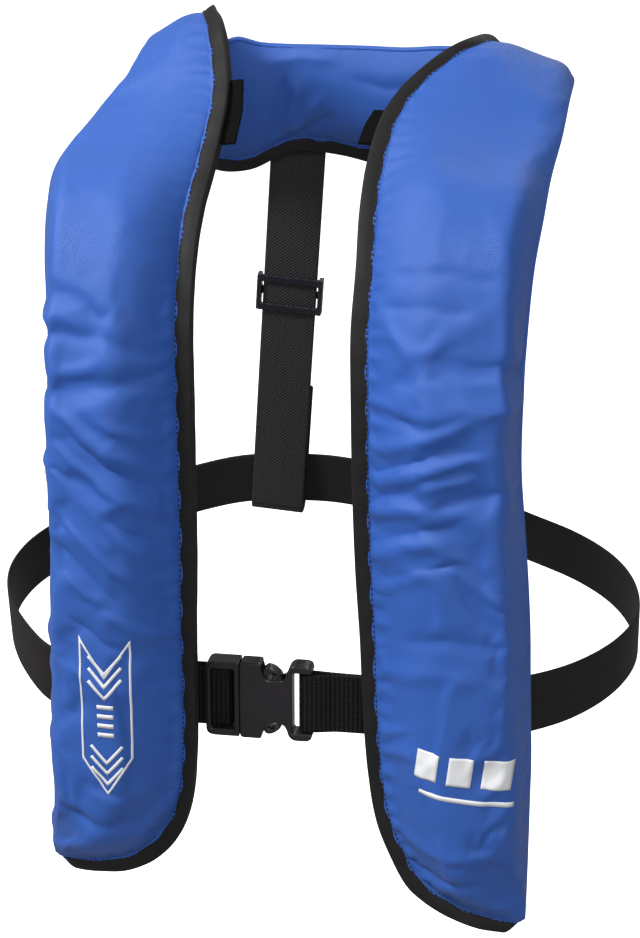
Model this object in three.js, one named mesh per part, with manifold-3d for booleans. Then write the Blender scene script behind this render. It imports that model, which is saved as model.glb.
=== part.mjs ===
// Inflatable life jacket: a folded bladder in a horseshoe fabric cover, held on by a waist belt.
// Millimetres, +Z up, the front faces -Y, +X is the right of someone looking at the front.
// The shapes are laid out around the buckle plane (y = 0) and then moved so that the origin lies
// between the shoulders, where the jacket rests on its wearer.

import * as THREE from "three";
import { mergeVertices } from "three/addons/utils/BufferGeometryUtils.js";
import Module from "manifold-3d";

const wasm = await Module();
wasm.setup();

// ---------- driving sizes ----------
const FIT = 0.3; // gap between pieces that touch
const FABRIC = 1.2; // coated cover cloth with its lining
const FLANGE = 10; // flat margin along a bound edge
const FOLD_FLAT = 1.5; // narrow flat strip where the cover only folds over
const BINDING_WALL = 0.8; // tape folded round the cover's edge
const BINDING_WIDTH = 9;
const CYLINDER_RADIUS = 15.5; // 33 g gas cylinder
const CROWN_REAR = 12; // how far the lobe stands behind its mid surface
const BLADDER_DEPTH = 7; // folded bladder behind the inflator and the oral tube
const COVER_EASE = 4; // room left for the bladder's rear cloth and in front of the cylinder
const CROWN_FRONT = BLADDER_DEPTH - CROWN_REAR + 2 * CYLINDER_RADIUS + COVER_EASE;
const CROWN_SHOULDER = 9;
const CROWN_YOKE = 11;
const CROWN_POWER = 2.6;
const YOKE_LAP = 12; // how far the outer cover's neck edge sits below the yoke's fold

const BELT_WIDTH = 38;
const STRAP_WIDTH = 36;
const WEBBING = 2.0; // webbing thickness
const BELT_LEAN = 12; // degrees that the belt's top edge leans to the front as the loop rises to the back

const BUCKLE_Z = -109;
const BUCKLE_HEIGHT = BELT_WIDTH + 12;
const BUCKLE_DEPTH = 13;
const BUCKLE_LEFT = -52;
const MOUTH_X = -31;
const BUCKLE_RIGHT = 13.5;
const SOCKET_WALL = 2;

const SLIDER_WIDTH = STRAP_WIDTH + 8;
const SLIDER_HEIGHT = 25;
const SLIDER_BAR = 5;
const SLIDER_WALL = 2.3;

const CYLINDER_LENGTH = 122;
const CYLINDER_NECK = 6.2;
const INFLATOR_X = -106;
const LOBE_MIDDLE = -22.5; // the mid surface where the cylinder hangs
const CYLINDER_BACK = LOBE_MIDDLE - BLADDER_DEPTH + CROWN_REAR;
const INFLATOR_Y = CYLINDER_BACK - CYLINDER_RADIUS;
const INFLATOR_TOP = -105;
const INFLATOR_HEIGHT = 46;
const INFLATOR_WIDTH = 28;
const INFLATOR_DEPTH = 22;
const PIN_RADIUS = 1.5;
const PIN_LENGTH = 16;
const LEVER_RADIUS = 16;
const BOBBIN_CAP_RADIUS = 11.5;
const BOBBIN_CAP_HEIGHT = 17;

const ORAL_X = 92;
const ORAL_Y = -34;
const ORAL_FOOT_Z = 0;
const ORAL_LENGTH = 92;
const ORAL_RADIUS = 6.5;
const ORAL_WALL = 1.8;

const ORIGIN = new THREE.Vector3(12, 125, 262); // between the shoulders, under the ridge

// ---------- materials ----------
function finish(color, roughness, metalness = 0) {
  return new THREE.MeshStandardMaterial({ color, roughness, metalness });
}
const coverCloth = finish(0x2b55b0, 0.55);
const bindingTape = finish(0x33302f, 0.8);
const webbingBlack = finish(0x151516, 0.85);
const beltCloth = finish(0x2a2725, 0.7);
const hookTape = finish(0x0c0c0d, 0.95);
const bladderCloth = finish(0xe8a01c, 0.6);
const buckleNylon = finish(0x17161a, 0.35);
const inflatorPlastic = finish(0x1d1f22, 0.45);
const capYellow = finish(0xe3c21a, 0.5);
const handleRed = finish(0xb3201c, 0.5);
const cylinderSteel = finish(0x9a9c9f, 0.35, 0.9);
const pinSteel = finish(0xb4b6b8, 0.3, 1.0);
const brassFitting = finish(0xb08d3c, 0.35, 1.0);
const tubeRubber = finish(0x1c1c1c, 0.8);
const whistleOrange = finish(0xe0671a, 0.4);
const sealRubber = finish(0x111111, 0.9);

// ---------- meshes and cuts ----------
const jacket = new THREE.Group();
jacket.position.copy(ORIGIN).negate();

function add(name, geometry, material, parent = jacket) {
  const mesh = new THREE.Mesh(geometry, material);
  mesh.name = name;
  parent.add(mesh);
  return mesh;
}

function toSolid(geometry) {
  const bare = geometry.clone();
  bare.deleteAttribute("normal");
  bare.deleteAttribute("uv");
  const merged = mergeVertices(bare, 1e-4);
  const index = merged.index ?? merged.toNonIndexed().index;
  return new wasm.Manifold(new wasm.Mesh({
    numProp: 3,
    vertProperties: new Float32Array(merged.attributes.position.array),
    triVerts: new Uint32Array(index.array),
  }));
}

function toGeometry(solid) {
  const mesh = solid.getMesh();
  const geometry = new THREE.BufferGeometry();
  geometry.setAttribute("position", new THREE.BufferAttribute(mesh.vertProperties, 3));
  geometry.setIndex(new THREE.BufferAttribute(mesh.triVerts, 1));
  return geometry;
}

function cut(geometry, ...tools) {
  return toGeometry(tools.reduce((solid, tool) => solid.subtract(toSolid(tool)), toSolid(geometry)));
}

function join(geometry, ...others) {
  return toGeometry(others.reduce((solid, other) => solid.add(toSolid(other)), toSolid(geometry)));
}

function block(low, high) {
  const size = high.map((value, axis) => value - low[axis]);
  const middle = high.map((value, axis) => (value + low[axis]) / 2);
  return new THREE.BoxGeometry(...size).translate(...middle);
}

// A plate drawn in x and z, given its thickness from y = near to y = far.
function plate(shape, near, far) {
  const solid = new THREE.ExtrudeGeometry(shape, { depth: far - near, bevelEnabled: false, curveSegments: 5 });
  return solid.rotateX(Math.PI / 2).translate(0, far, 0);
}

// A turned piece: profile points are [radius, height] from the bottom of the axis to its top.
function turned(profile, x, y, z, sides = 20) {
  const points = profile.map(([radius, height]) => new THREE.Vector2(radius, height));
  return new THREE.LatheGeometry(points, sides).rotateX(Math.PI / 2).translate(x, y, z);
}

function rod(radius, x, y, low, high, sides = 16) {
  return turned([[0, 0], [radius, 0], [radius, high - low], [0, high - low]], x, y, low, sides);
}

// ---------- lofted cloth ----------
function turnArea(points) {
  return THREE.ShapeUtils.area(points);
}

// Joins sections of equal point count into one closed solid. outline is the section drawn flat.
function loft(sections, outline) {
  const count = outline.length;
  const corners = sections.flat();
  const faces = [];
  for (let i = 0; i + 1 < sections.length; i += 1) {
    for (let j = 0; j < count; j += 1) {
      const a = i * count + j;
      const b = i * count + ((j + 1) % count);
      const falling = corners[a].distanceTo(corners[b + count]);
      const rising = corners[b].distanceTo(corners[a + count]);
      if (falling <= rising) {
        faces.push(a, b, b + count, a, b + count, a + count);
      } else {
        faces.push(a, b, a + count, b, b + count, a + count);
      }
    }
  }
  const winding = Math.sign(turnArea(outline));
  const last = (sections.length - 1) * count;
  for (const triangle of THREE.ShapeUtils.triangulateShape(outline, [])) {
    const same = Math.sign(turnArea(triangle.map((index) => outline[index]))) === winding;
    const [a, b, c] = same ? triangle : [...triangle].reverse();
    faces.push(c, b, a, last + a, last + b, last + c);
  }
  let volume = 0;
  for (let i = 0; i < faces.length; i += 3) {
    const [a, b, c] = [corners[faces[i]], corners[faces[i + 1]], corners[faces[i + 2]]];
    volume += a.dot(new THREE.Vector3().crossVectors(b, c));
  }
  if (volume < 0) {
    faces.reverse();
  }
  const geometry = new THREE.BufferGeometry();
  geometry.setAttribute("position",
    new THREE.Float32BufferAttribute(corners.flatMap((point) => [point.x, point.y, point.z]), 3));
  geometry.setIndex(faces);
  return geometry;
}

// The horseshoe is a strip. Each station gives a point on its opening edge (the inner and neck edge),
// the point across from it on the outer fold, and how far the two crowns stand there.
function station(edge, fold, front, rear, yoke = 0) {
  return { edge: new THREE.Vector3(...edge), fold: new THREE.Vector3(...fold), front, rear, yoke };
}

// From the bottom end of a lobe up to the shoulder. Crowns fade out towards the bottom end.
const leftLobe = [
  station([-134, -21, -222], [-145, -19, -211], 1, 1),
  station([-118, -23, -222], [-145, -18, -190], 10, 6),
  station([-98, -24, -219], [-144, -17, -166], 21, 11),
  station([-80, -24, -209], [-144, -16, -142], 28, 14),
  station([-66, -24, -192], [-144, -16, -118], CROWN_FRONT, CROWN_REAR),
  station([-58, -24, -168], [-143, -16, -92], CROWN_FRONT, CROWN_REAR),
  station([-55, -24, -138], [-143, -16, -66], CROWN_FRONT, CROWN_REAR),
  station([-54, -24, -100], [-142, -16, -40], CROWN_FRONT, CROWN_REAR),
  station([-54, -24, -55], [-141, -16, -10], CROWN_FRONT, CROWN_REAR),
  station([-53, -24, -10], [-140, -16, 22], CROWN_FRONT, CROWN_REAR),
  station([-53, -24, 40], [-139, -16, 58], CROWN_FRONT, CROWN_REAR),
  station([-53, -24, 90], [-138, -16, 96], CROWN_FRONT, CROWN_REAR),
  station([-54, -19, 130], [-139, -12, 132], 28, CROWN_REAR),
  station([-54, -6, 164], [-141, -4, 164], 25, 14),
  station([-53, 14, 190], [-144, 16, 188], 20, 12),
  station([-50, 42, 215], [-145, 44, 206], 14, 11),
  station([-48, 69, 243], [-135, 77, 229], CROWN_SHOULDER, 10),
  station([-53, 92, 264], [-126, 104, 244], CROWN_SHOULDER, 10),
  station([-60, 111, 279], [-118, 126, 253], CROWN_SHOULDER, 10),
  station([-67, 129, 284], [-112, 147, 252], CROWN_SHOULDER, 10),
];
const rightLobe = [
  station([136, -22, -243], [146, -18, -233], 1, 1),
  station([118, -24, -240], [146, -15, -207], 10, 6),
  station([97, -24, -232], [146, -14, -181], 21, 11),
  station([77, -24, -217], [146, -14, -156], 28, 14),
  station([65, -24, -195], [146, -14, -130], CROWN_FRONT, CROWN_REAR),
  station([56, -24, -170], [145, -14, -104], CROWN_FRONT, CROWN_REAR),
  station([51, -24, -138], [144, -14, -76], CROWN_FRONT, CROWN_REAR),
  station([48, -24, -100], [143, -14, -48], CROWN_FRONT, CROWN_REAR),
  station([46, -24, -55], [141, -14, -16], CROWN_FRONT, CROWN_REAR),
  station([43, -24, -10], [138, -14, 18], CROWN_FRONT, CROWN_REAR),
  station([41, -24, 40], [135, -14, 56], CROWN_FRONT, CROWN_REAR),
  station([40, -24, 90], [135, -14, 96], CROWN_FRONT, CROWN_REAR),
  station([39, -19, 130], [136, -8, 134], 28, CROWN_REAR),
  station([40, -6, 164], [138, 0, 166], 25, 14),
  station([39, 14, 191], [141, 20, 190], 20, 12),
  station([40, 38, 215], [143, 46, 208], 14, 11),
  station([45, 62, 236], [147, 73, 226], CROWN_SHOULDER, 10),
  station([57, 82, 252], [150, 97, 240], CROWN_SHOULDER, 10),
  station([76, 103, 266], [150, 121, 248], CROWN_SHOULDER, 10),
  station([92, 121, 270], [143, 146, 239], CROWN_SHOULDER, 10),
];
const yoke = [
  station([-70, 146, 275], [-109, 167, 226], 9, CROWN_YOKE, 0.3),
  station([-69, 157, 261], [-101, 182, 196], 10, CROWN_YOKE, 0.7),
  station([-59, 162, 262], [-84, 189, 176], CROWN_YOKE, CROWN_YOKE, 1),
  station([-46, 167, 258], [-60, 193, 174], CROWN_YOKE, CROWN_YOKE, 1),
  station([-27, 169, 257], [-33, 197, 186], CROWN_YOKE, CROWN_YOKE, 1),
  station([-4, 170, 257], [-5, 197, 186], CROWN_YOKE, CROWN_YOKE, 1),
  station([20, 170, 257], [24, 194, 181], CROWN_YOKE, CROWN_YOKE, 1),
  station([44, 168, 257], [54, 190, 180], CROWN_YOKE, CROWN_YOKE, 1),
  station([64, 165, 259], [82, 187, 184], CROWN_YOKE, CROWN_YOKE, 1),
  station([84, 158, 261], [108, 182, 197], 10, CROWN_YOKE, 0.7),
  station([97, 148, 267], [130, 170, 218], 9, CROWN_YOKE, 0.3),
];
const strip = [...leftLobe, ...yoke, ...rightLobe.toReversed()];
const FLAP_ROW = 8;
const LEFT_TOP = leftLobe.length - 1;
const RIGHT_TOP = leftLobe.length + yoke.length;
const LAST_ROW = strip.length - 1;

strip.forEach((row, i) => {
  const before = strip[Math.max(i - 1, 0)];
  const after = strip[Math.min(i + 1, LAST_ROW)];
  const along = new THREE.Vector3().subVectors(after.edge, before.edge)
    .add(new THREE.Vector3().subVectors(after.fold, before.fold));
  row.across = new THREE.Vector3().subVectors(row.fold, row.edge);
  row.out = new THREE.Vector3().crossVectors(along, row.across).normalize();
});

// A row anywhere on the strip, on the straight line between its two stations.
function rowAt(t) {
  const first = strip[Math.min(Math.floor(t), LAST_ROW - 1)];
  const second = strip[Math.min(Math.floor(t), LAST_ROW - 1) + 1];
  const share = t - Math.min(Math.floor(t), LAST_ROW - 1);
  const mix = (key) => THREE.MathUtils.lerp(first[key], second[key], share);
  const edge = first.edge.clone().lerp(second.edge, share);
  const fold = first.fold.clone().lerp(second.fold, share);
  const across = new THREE.Vector3().subVectors(fold, edge);
  const out = first.out.clone().lerp(second.out, share).normalize();
  return {
    edge, out, width: across.length(), across: across.normalize(),
    front: mix("front"), rear: mix("rear"), yoke: mix("yoke"),
  };
}

function onRow(row, distance, height) {
  return row.edge.clone().addScaledVector(row.across, distance).addScaledVector(row.out, height);
}

// The rows of one piece of the strip, its ends drawn back by half of FIT.
function rowsBetween(start, end) {
  const nudge = 0.02;
  const steps = [start === 0 ? 0 : start + nudge];
  for (let t = Math.floor(start) + 1; t < end; t += 1) {
    steps.push(t);
  }
  steps.push(end === LAST_ROW ? end : end - nudge);
  return steps.map(rowAt);
}

const CROWN_STEPS = [0.06, 0.18, 0.34, 0.5, 0.66, 0.82, 0.94];
const TAPE_FIT = 0.4; // cover edge to the tape folded round it
const FLANGE_BASE = BINDING_WALL + TAPE_FIT + 0.2; // room under the edge for the tape's inner leg
const FOLD_BASE = 0.25;

// Where one face of the cover starts across the strip, and how wide its flat margins are.
function faceLayout(row, side) {
  const outer = side > 0;
  const start = outer ? row.yoke * YOKE_LAP : 0;
  const opening = outer ? FLANGE : THREE.MathUtils.lerp(FLANGE, FOLD_FLAT, row.yoke);
  const far = outer ? FOLD_FLAT : THREE.MathUtils.lerp(FOLD_FLAT, FLANGE, row.yoke);
  const baseStart = outer ? FLANGE_BASE : THREE.MathUtils.lerp(FLANGE_BASE, FOLD_BASE, row.yoke);
  const baseEnd = outer ? FOLD_BASE : THREE.MathUtils.lerp(FOLD_BASE, FLANGE_BASE, row.yoke);
  const room = Math.max(row.width - start, 0.1);
  const shrink = Math.min(1, (room * 0.8) / (opening + far));
  return { start, opening: opening * shrink, far: far * shrink, baseStart, baseEnd };
}

// Heights of the cover's inside face over the strip's mid surface, across one row.
function faceLine(row, side) {
  const { start, opening, far, baseStart, baseEnd } = faceLayout(row, side);
  const crown = side > 0 ? row.front : row.rear;
  const span = row.width - start - opening - far;
  const middle = CROWN_STEPS.map((v) => ({
    distance: start + opening + v * span,
    height: THREE.MathUtils.lerp(baseStart, baseEnd, v) + crown * (1 - Math.abs(2 * v - 1) ** CROWN_POWER),
  }));
  return [
    { distance: start, height: baseStart },
    { distance: start + opening, height: baseStart },
    ...middle,
    { distance: row.width - far, height: baseEnd },
    { distance: row.width, height: baseEnd },
  ];
}

function coverPanel(start, end, side) {
  const sections = rowsBetween(start, end).map((row) => {
    const line = faceLine(row, side);
    const inside = line.map(({ distance, height }) => onRow(row, distance, side * height));
    const outside = line.map(({ distance, height }) => onRow(row, distance, side * (height + FABRIC)));
    return [...inside, ...outside.reverse()];
  });
  const flat = faceLine(rowAt((start + end) / 2), side);
  const outline = [
    ...flat.map(({ distance, height }) => new THREE.Vector2(distance, height)),
    ...flat.map(({ distance, height }) => new THREE.Vector2(distance, height + FABRIC)).reverse(),
  ];
  return loft(sections, outline);
}

// Tape folded round a cover edge: a channel that the cloth's edge sits in.
function bindingOutline() {
  const lowInside = FLANGE_BASE - TAPE_FIT;
  const low = lowInside - BINDING_WALL;
  const highInside = FLANGE_BASE + FABRIC + TAPE_FIT;
  const high = highInside + BINDING_WALL;
  const back = -FIT - BINDING_WALL;
  return [
    [back, low], [BINDING_WIDTH, low], [BINDING_WIDTH, lowInside], [-FIT, lowInside],
    [-FIT, highInside], [BINDING_WIDTH, highInside], [BINDING_WIDTH, high], [back, high],
  ].map(([distance, height]) => new THREE.Vector2(distance, height));
}

// Along the opening edge, or along the far edge when fromFold is set. Width follows a short end row.
function binding(start, end, side, fromFold = false) {
  const outline = bindingOutline();
  const sections = rowsBetween(start, end).map((row) => {
    const { start: first, opening, far } = faceLayout(row, side);
    const margin = fromFold ? far : opening;
    const share = Math.min(1, (margin - 0.4) / BINDING_WIDTH);
    return outline.map((point) => {
      const distance = point.x > 0 ? point.x * share : point.x;
      return onRow(row, fromFold ? row.width - distance : first + distance, side * point.y);
    });
  });
  return loft(sections, outline);
}

// The bladder lies folded between the two cover faces, thin behind the mechanism.
function bladderSection(row) {
  const steps = [0.05, 0.3, 0.5, 0.7, 0.95];
  const from = FLANGE + 6 + row.yoke * YOKE_LAP;
  const span = row.width - from - 8 - row.yoke * FLANGE;
  const crown = (v) => 1 - Math.abs(2 * v - 1) ** CROWN_POWER;
  const rear = (v) => -(row.rear - 2) * crown((v * span + 6) / (span + 14));
  const frontLobe = (v) => rear(v) + BLADDER_DEPTH * crown(v * 0.9 + 0.05);
  const frontYoke = (v) => (row.front - 6) * crown(v * 0.9 + 0.05);
  const share = THREE.MathUtils.clamp((CROWN_FRONT - row.front) / (CROWN_FRONT - CROWN_SHOULDER), 0, 1);
  const front = (v) => THREE.MathUtils.lerp(frontLobe(v), frontYoke(v), share);
  return [
    ...steps.map((v) => [from + v * span, rear(v)]),
    ...steps.toReversed().map((v) => [from + v * span, front(v)]),
  ];
}

function bladder() {
  const rows = rowsBetween(4, LAST_ROW - 4);
  const sections = rows.map((row) =>
    bladderSection(row).map(([distance, height]) => onRow(row, distance, height)));
  const outline = bladderSection(rows[0]).map(([distance, height]) => new THREE.Vector2(distance, height));
  return loft(sections, outline);
}

function addCover() {
  add("front_cover_flap", coverPanel(0, FLAP_ROW, 1), coverCloth);
  add("front_cover_left", coverPanel(FLAP_ROW, LEFT_TOP, 1), coverCloth);
  add("front_cover_yoke", coverPanel(LEFT_TOP, RIGHT_TOP, 1), coverCloth);
  add("front_cover_right", coverPanel(RIGHT_TOP, LAST_ROW, 1), coverCloth);
  add("rear_cover_left", coverPanel(0, LEFT_TOP, -1), coverCloth);
  add("rear_cover_yoke", coverPanel(LEFT_TOP, RIGHT_TOP, -1), coverCloth);
  add("rear_cover_right", coverPanel(RIGHT_TOP, LAST_ROW, -1), coverCloth);
  add("front_binding_flap", binding(0, FLAP_ROW, 1), bindingTape);
  add("front_binding_left", binding(FLAP_ROW, LEFT_TOP, 1), bindingTape);
  add("front_binding_yoke", binding(LEFT_TOP, RIGHT_TOP, 1), bindingTape);
  add("front_binding_right", binding(RIGHT_TOP, LAST_ROW, 1), bindingTape);
  add("rear_binding_left", binding(0, LEFT_TOP, -1), bindingTape);
  add("rear_binding_right", binding(RIGHT_TOP, LAST_ROW, -1), bindingTape);
  add("rear_binding_yoke", binding(LEFT_TOP + 3, RIGHT_TOP - 3, -1, true), bindingTape);
  add("bladder", bladder(), bladderCloth);
}

// Hook-and-loop tabs that stand out from under the cover's edge beside the neck.
function closureTab(start, end) {
  const reach = 8;
  const inner = -FIT * 5 - BINDING_WALL;
  const outline = [[inner, -0.6], [inner, -2.6], [inner - reach, -2.6], [inner - reach, -0.6]]
    .map(([distance, height]) => new THREE.Vector2(distance, height));
  const sections = [start, (start + end) / 2, end].map((t) => {
    const row = rowAt(t);
    return outline.map((point) => onRow(row, point.x, point.y));
  });
  return loft(sections, outline);
}

function addClosureTabs() {
  add("closure_tab_left", closureTab(15.2, 16.4), hookTape);
  add("closure_tab_right", closureTab(LAST_ROW - 16.2, LAST_ROW - 15.4), hookTape);
}

// ---------- belts ----------
// A band that follows path points [x, y, z], its top edge leaning to the front by lean degrees.
function band(path, width, thickness, leans = []) {
  const points = path.map((point) => new THREE.Vector3(...point));
  const sections = points.map((point, i) => {
    const along = new THREE.Vector3().subVectors(
      points[Math.min(i + 1, points.length - 1)], points[Math.max(i - 1, 0)]);
    along.z = 0;
    const tilt = THREE.MathUtils.degToRad(leans[i] ?? 0);
    const high = new THREE.Vector3(0, -Math.sin(tilt), Math.cos(tilt));
    const thick = new THREE.Vector3().crossVectors(along, high).normalize();
    return [[-1, -1], [1, -1], [1, 1], [-1, 1]].map(([w, h]) => point.clone()
      .addScaledVector(high, (w * width) / 2).addScaledVector(thick, (h * thickness) / 2));
  });
  const outline = [[-1, -1], [1, -1], [1, 1], [-1, 1]].map(([w, h]) => new THREE.Vector2(w * width, h * thickness));
  return loft(sections, outline);
}

// The belt's way round the wearer, anticlockwise from above, starting on the female's end bar.
const SLOT_LEFT = 1.2; // the slot beside the female's end bar
const SLOT_RIGHT = 7.2;
const BAR_Y = -0.5;
const BAR_DEPTH = 4.4;
const LOOP_FRONT = BAR_Y - BAR_DEPTH / 2 - FIT - WEBBING / 2;
const LOOP_BACK = BAR_Y + BAR_DEPTH / 2 + FIT + WEBBING / 2;
const LOOP_TURN = SLOT_RIGHT - 0.4 - WEBBING / 2;
const femaleLoop = [
  [60, 1.5], [32, 1.5], [15.5, LOOP_BACK], [LOOP_TURN + 1.1, LOOP_BACK], [LOOP_TURN, LOOP_BACK - 1.1],
  [LOOP_TURN, LOOP_FRONT + 1.1], [LOOP_TURN + 1.1, LOOP_FRONT], [14.5, LOOP_FRONT], [28, -1.1], [70, -1.1], [98, -0.8],
];
const beltRing = [
  [132, 6, -107], [165, 26, -104], [190, 54, -99], [203, 88, -94], [201, 124, -89], [187, 156, -84],
  [162, 184, -80], [128, 206, -76], [88, 221, -68], [44, 229, -59], [2, 232.5, -53], [-28, 233.5, -52],
  [-68, 231.5, -54], [-98, 223.5, -59], [-126, 212, -66], [-152, 199, -74], [-180, 176, -83], [-198, 146, -89],
  [-203, 112, -93], [-197, 78, -96], [-182, 44, -99], [-160, 14, -104],
];
const MAIN_END = [[-136, 0.4, BUCKLE_Z], [-90, 0.4, BUCKLE_Z]];

function beltLean(point) {
  return BELT_LEAN * THREE.MathUtils.clamp((point[1] - 10) / 80, 0, 1);
}

function addBelts() {
  const path = [
    ...femaleLoop.map(([x, y]) => [x, y, BUCKLE_Z]),
    ...beltRing,
    ...MAIN_END,
  ];
  add("waist_belt", band(path, BELT_WIDTH, WEBBING, path.map(beltLean)), beltCloth);
  // The short end goes round the male's centre bar and lies in front of the main belt.
  const shortEnd = [
    [-96, -2.1], [-44, -2.1], [-38.6, -1.8], [-36.6, 0.4], [-36.6, 3.4], [-38.6, 5.4], [-46, 5.6], [-60, 5.6],
  ].map(([x, y]) => [x, y, BUCKLE_Z]);
  add("belt_adjuster_end", band(shortEnd, BELT_WIDTH, WEBBING), webbingBlack);
  const keeper = (x) => cut(
    block([x - 8, -4.8, BUCKLE_Z - BELT_WIDTH / 2 - 4], [x + 8, 3.2, BUCKLE_Z + BELT_WIDTH / 2 + 4]),
    block([x - 20, -3.6, BUCKLE_Z - BELT_WIDTH / 2 - 1], [x + 20, 2.0, BUCKLE_Z + BELT_WIDTH / 2 + 1]));
  add("belt_keeper_left", keeper(-102), webbingBlack);
  add("belt_keeper_right", keeper(85), webbingBlack);
}

// ---------- back strap ----------
// Drawn in its own frame: z runs up along the strap, y points back, x across.
const STRAP_TOP = new THREE.Vector3(-29, 204.5, 184);
const BELT_BACK_Z = -53; // the belt's middle where the strap holds it
const STRAP_FOOT = new THREE.Vector3(-49, 228, BELT_BACK_Z - BELT_WIDTH / 2 - STRAP_WIDTH / 9);
const STRAP_LENGTH = STRAP_TOP.distanceTo(STRAP_FOOT);
const BELT_ROOM = STRAP_WIDTH / 3; // between the strap's front and rear runs, where the bent belt passes
const SLIDER_DOWN = 100;
const STRAP_SEWN = 18; // how far the strap's end runs up on the yoke

function strapFrame() {
  const frame = new THREE.Group();
  const up = new THREE.Vector3().subVectors(STRAP_TOP, STRAP_FOOT).normalize();
  const back = new THREE.Vector3().crossVectors(up, new THREE.Vector3(1, 0, 0)).normalize();
  const across = new THREE.Vector3().crossVectors(back, up).normalize();
  frame.quaternion.setFromRotationMatrix(new THREE.Matrix4().makeBasis(across, back, up));
  frame.position.copy(STRAP_TOP);
  jacket.add(frame);
  return frame;
}

function ribbon(points, width, thickness) {
  const lines = points.map(([y, z], i) => {
    const before = points[Math.max(i - 1, 0)];
    const after = points[Math.min(i + 1, points.length - 1)];
    const along = new THREE.Vector2(after[0] - before[0], after[1] - before[1]).normalize();
    return { y, z, side: new THREE.Vector2(-along.y, along.x).multiplyScalar(thickness / 2) };
  });
  const outline = [[-1, -1], [1, -1], [1, 1], [-1, 1]].map(([w, h]) => new THREE.Vector2(w, h));
  const sections = lines.map(({ y, z, side }) => outline.map((corner) => new THREE.Vector3(
    (corner.x * width) / 2, y + side.x * corner.y, z + side.y * corner.y)));
  return loft(sections, outline);
}

function slider() {
  const near = -WEBBING / 2 - FIT - SLIDER_WALL;
  const far = WEBBING / 2 + FIT + SLIDER_WALL;
  const tall = SLIDER_HEIGHT / 2;
  const half = SLIDER_WIDTH / 2;
  const slot = STRAP_WIDTH / 2 + 1;
  const rails = [-1, 1].map((side) => block(
    [Math.min(side * slot, side * half), near, -tall], [Math.max(side * slot, side * half), far, tall]));
  const bar = (y0, y1, z0, z1) => block([-slot - 0.5, y0, z0], [slot + 0.5, y1, z1]);
  return join(rails[0], rails[1],
    bar(near, near + SLIDER_WALL, tall - SLIDER_BAR, tall),
    bar(near, near + SLIDER_WALL, -tall, -tall + SLIDER_BAR),
    bar(far - SLIDER_WALL, far, -SLIDER_BAR / 2, SLIDER_BAR / 2));
}

function addStrap() {
  const frame = strapFrame();
  const turn = BELT_ROOM + WEBBING; // from the front run's middle to the rear run's
  const bottom = -STRAP_LENGTH;
  const loop = [[0, STRAP_SEWN], [0, bottom + 4], [1.2, bottom + 1.2], [turn / 2, bottom],
    [turn - 1.2, bottom + 1.2], [turn, bottom + 4], [turn, -SLIDER_DOWN - 70]];
  add("back_strap", ribbon(loop, STRAP_WIDTH, WEBBING), webbingBlack, frame);
  const rearRun = WEBBING / 2 + FIT * 2 + SLIDER_WALL + WEBBING / 2;
  const end = [[rearRun, -SLIDER_DOWN + 6], [rearRun, -SLIDER_DOWN - 90]];
  add("strap_end", ribbon(end, STRAP_WIDTH - 2, WEBBING), webbingBlack, frame);
  const buckle = add("strap_slider", slider(), buckleNylon, frame);
  buckle.position.z = -SLIDER_DOWN;
}

// ---------- side-release buckle ----------
function femaleOutline() {
  const top = BUCKLE_HEIGHT / 2;
  const waist = 14.5;
  const shape = new THREE.Shape();
  shape.moveTo(MOUTH_X, -top + 1.5);
  shape.lineTo(MOUTH_X + 1.5, -top);
  shape.lineTo(MOUTH_X + 12, -top);
  shape.quadraticCurveTo(MOUTH_X + 13.5, -top, MOUTH_X + 13.5, -top + 3);
  shape.quadraticCurveTo(MOUTH_X + 15, -waist, MOUTH_X + 18, -waist);
  shape.lineTo(-6, -waist);
  shape.quadraticCurveTo(-2.5, -waist - 0.5, -1.5, -top + 4);
  shape.quadraticCurveTo(0, -top, 4, -top);
  shape.lineTo(BUCKLE_RIGHT - 5, -top);
  shape.quadraticCurveTo(BUCKLE_RIGHT, -top, BUCKLE_RIGHT, -top + 5);
  shape.lineTo(BUCKLE_RIGHT, top - 5);
  shape.quadraticCurveTo(BUCKLE_RIGHT, top, BUCKLE_RIGHT - 5, top);
  shape.lineTo(4, top);
  shape.quadraticCurveTo(0, top, -1.5, top - 4);
  shape.quadraticCurveTo(-2.5, waist + 0.5, -6, waist);
  shape.lineTo(MOUTH_X + 18, waist);
  shape.quadraticCurveTo(MOUTH_X + 15, waist, MOUTH_X + 13.5, top - 3);
  shape.quadraticCurveTo(MOUTH_X + 13.5, top, MOUTH_X + 12, top);
  shape.lineTo(MOUTH_X + 1.5, top);
  shape.lineTo(MOUTH_X, top - 1.5);
  shape.closePath();
  return shape;
}

const BUCKLE_NEAR = -BUCKLE_DEPTH / 2 - 0.5;
const BUCKLE_FAR = BUCKLE_DEPTH / 2 - 0.5;
const SOCKET_END = -4;
const PRONG_NEAR = BUCKLE_NEAR + SOCKET_WALL + FIT;
const PRONG_FAR = BUCKLE_FAR - SOCKET_WALL - FIT;

function femaleBody() {
  const body = plate(femaleOutline(), BUCKLE_NEAR, BUCKLE_FAR);
  const inside = BUCKLE_HEIGHT / 2 - SOCKET_WALL;
  const socket = block([MOUTH_X - 1, BUCKLE_NEAR + SOCKET_WALL, -inside],
    [SOCKET_END, BUCKLE_FAR - SOCKET_WALL, inside]);
  const tall = BELT_WIDTH / 2 + 1;
  const slot = block([SLOT_LEFT, BUCKLE_NEAR - 1, -tall], [SLOT_RIGHT, BUCKLE_FAR + 1, tall]);
  const barFront = block([SLOT_RIGHT - 1, BUCKLE_NEAR - 1, -tall],
    [BUCKLE_RIGHT + 1, BAR_Y - BAR_DEPTH / 2, tall]);
  const barBack = block([SLOT_RIGHT - 1, BAR_Y + BAR_DEPTH / 2, -tall],
    [BUCKLE_RIGHT + 1, BUCKLE_FAR + 1, tall]);
  return cut(body, socket, slot, barFront, barBack);
}

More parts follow.
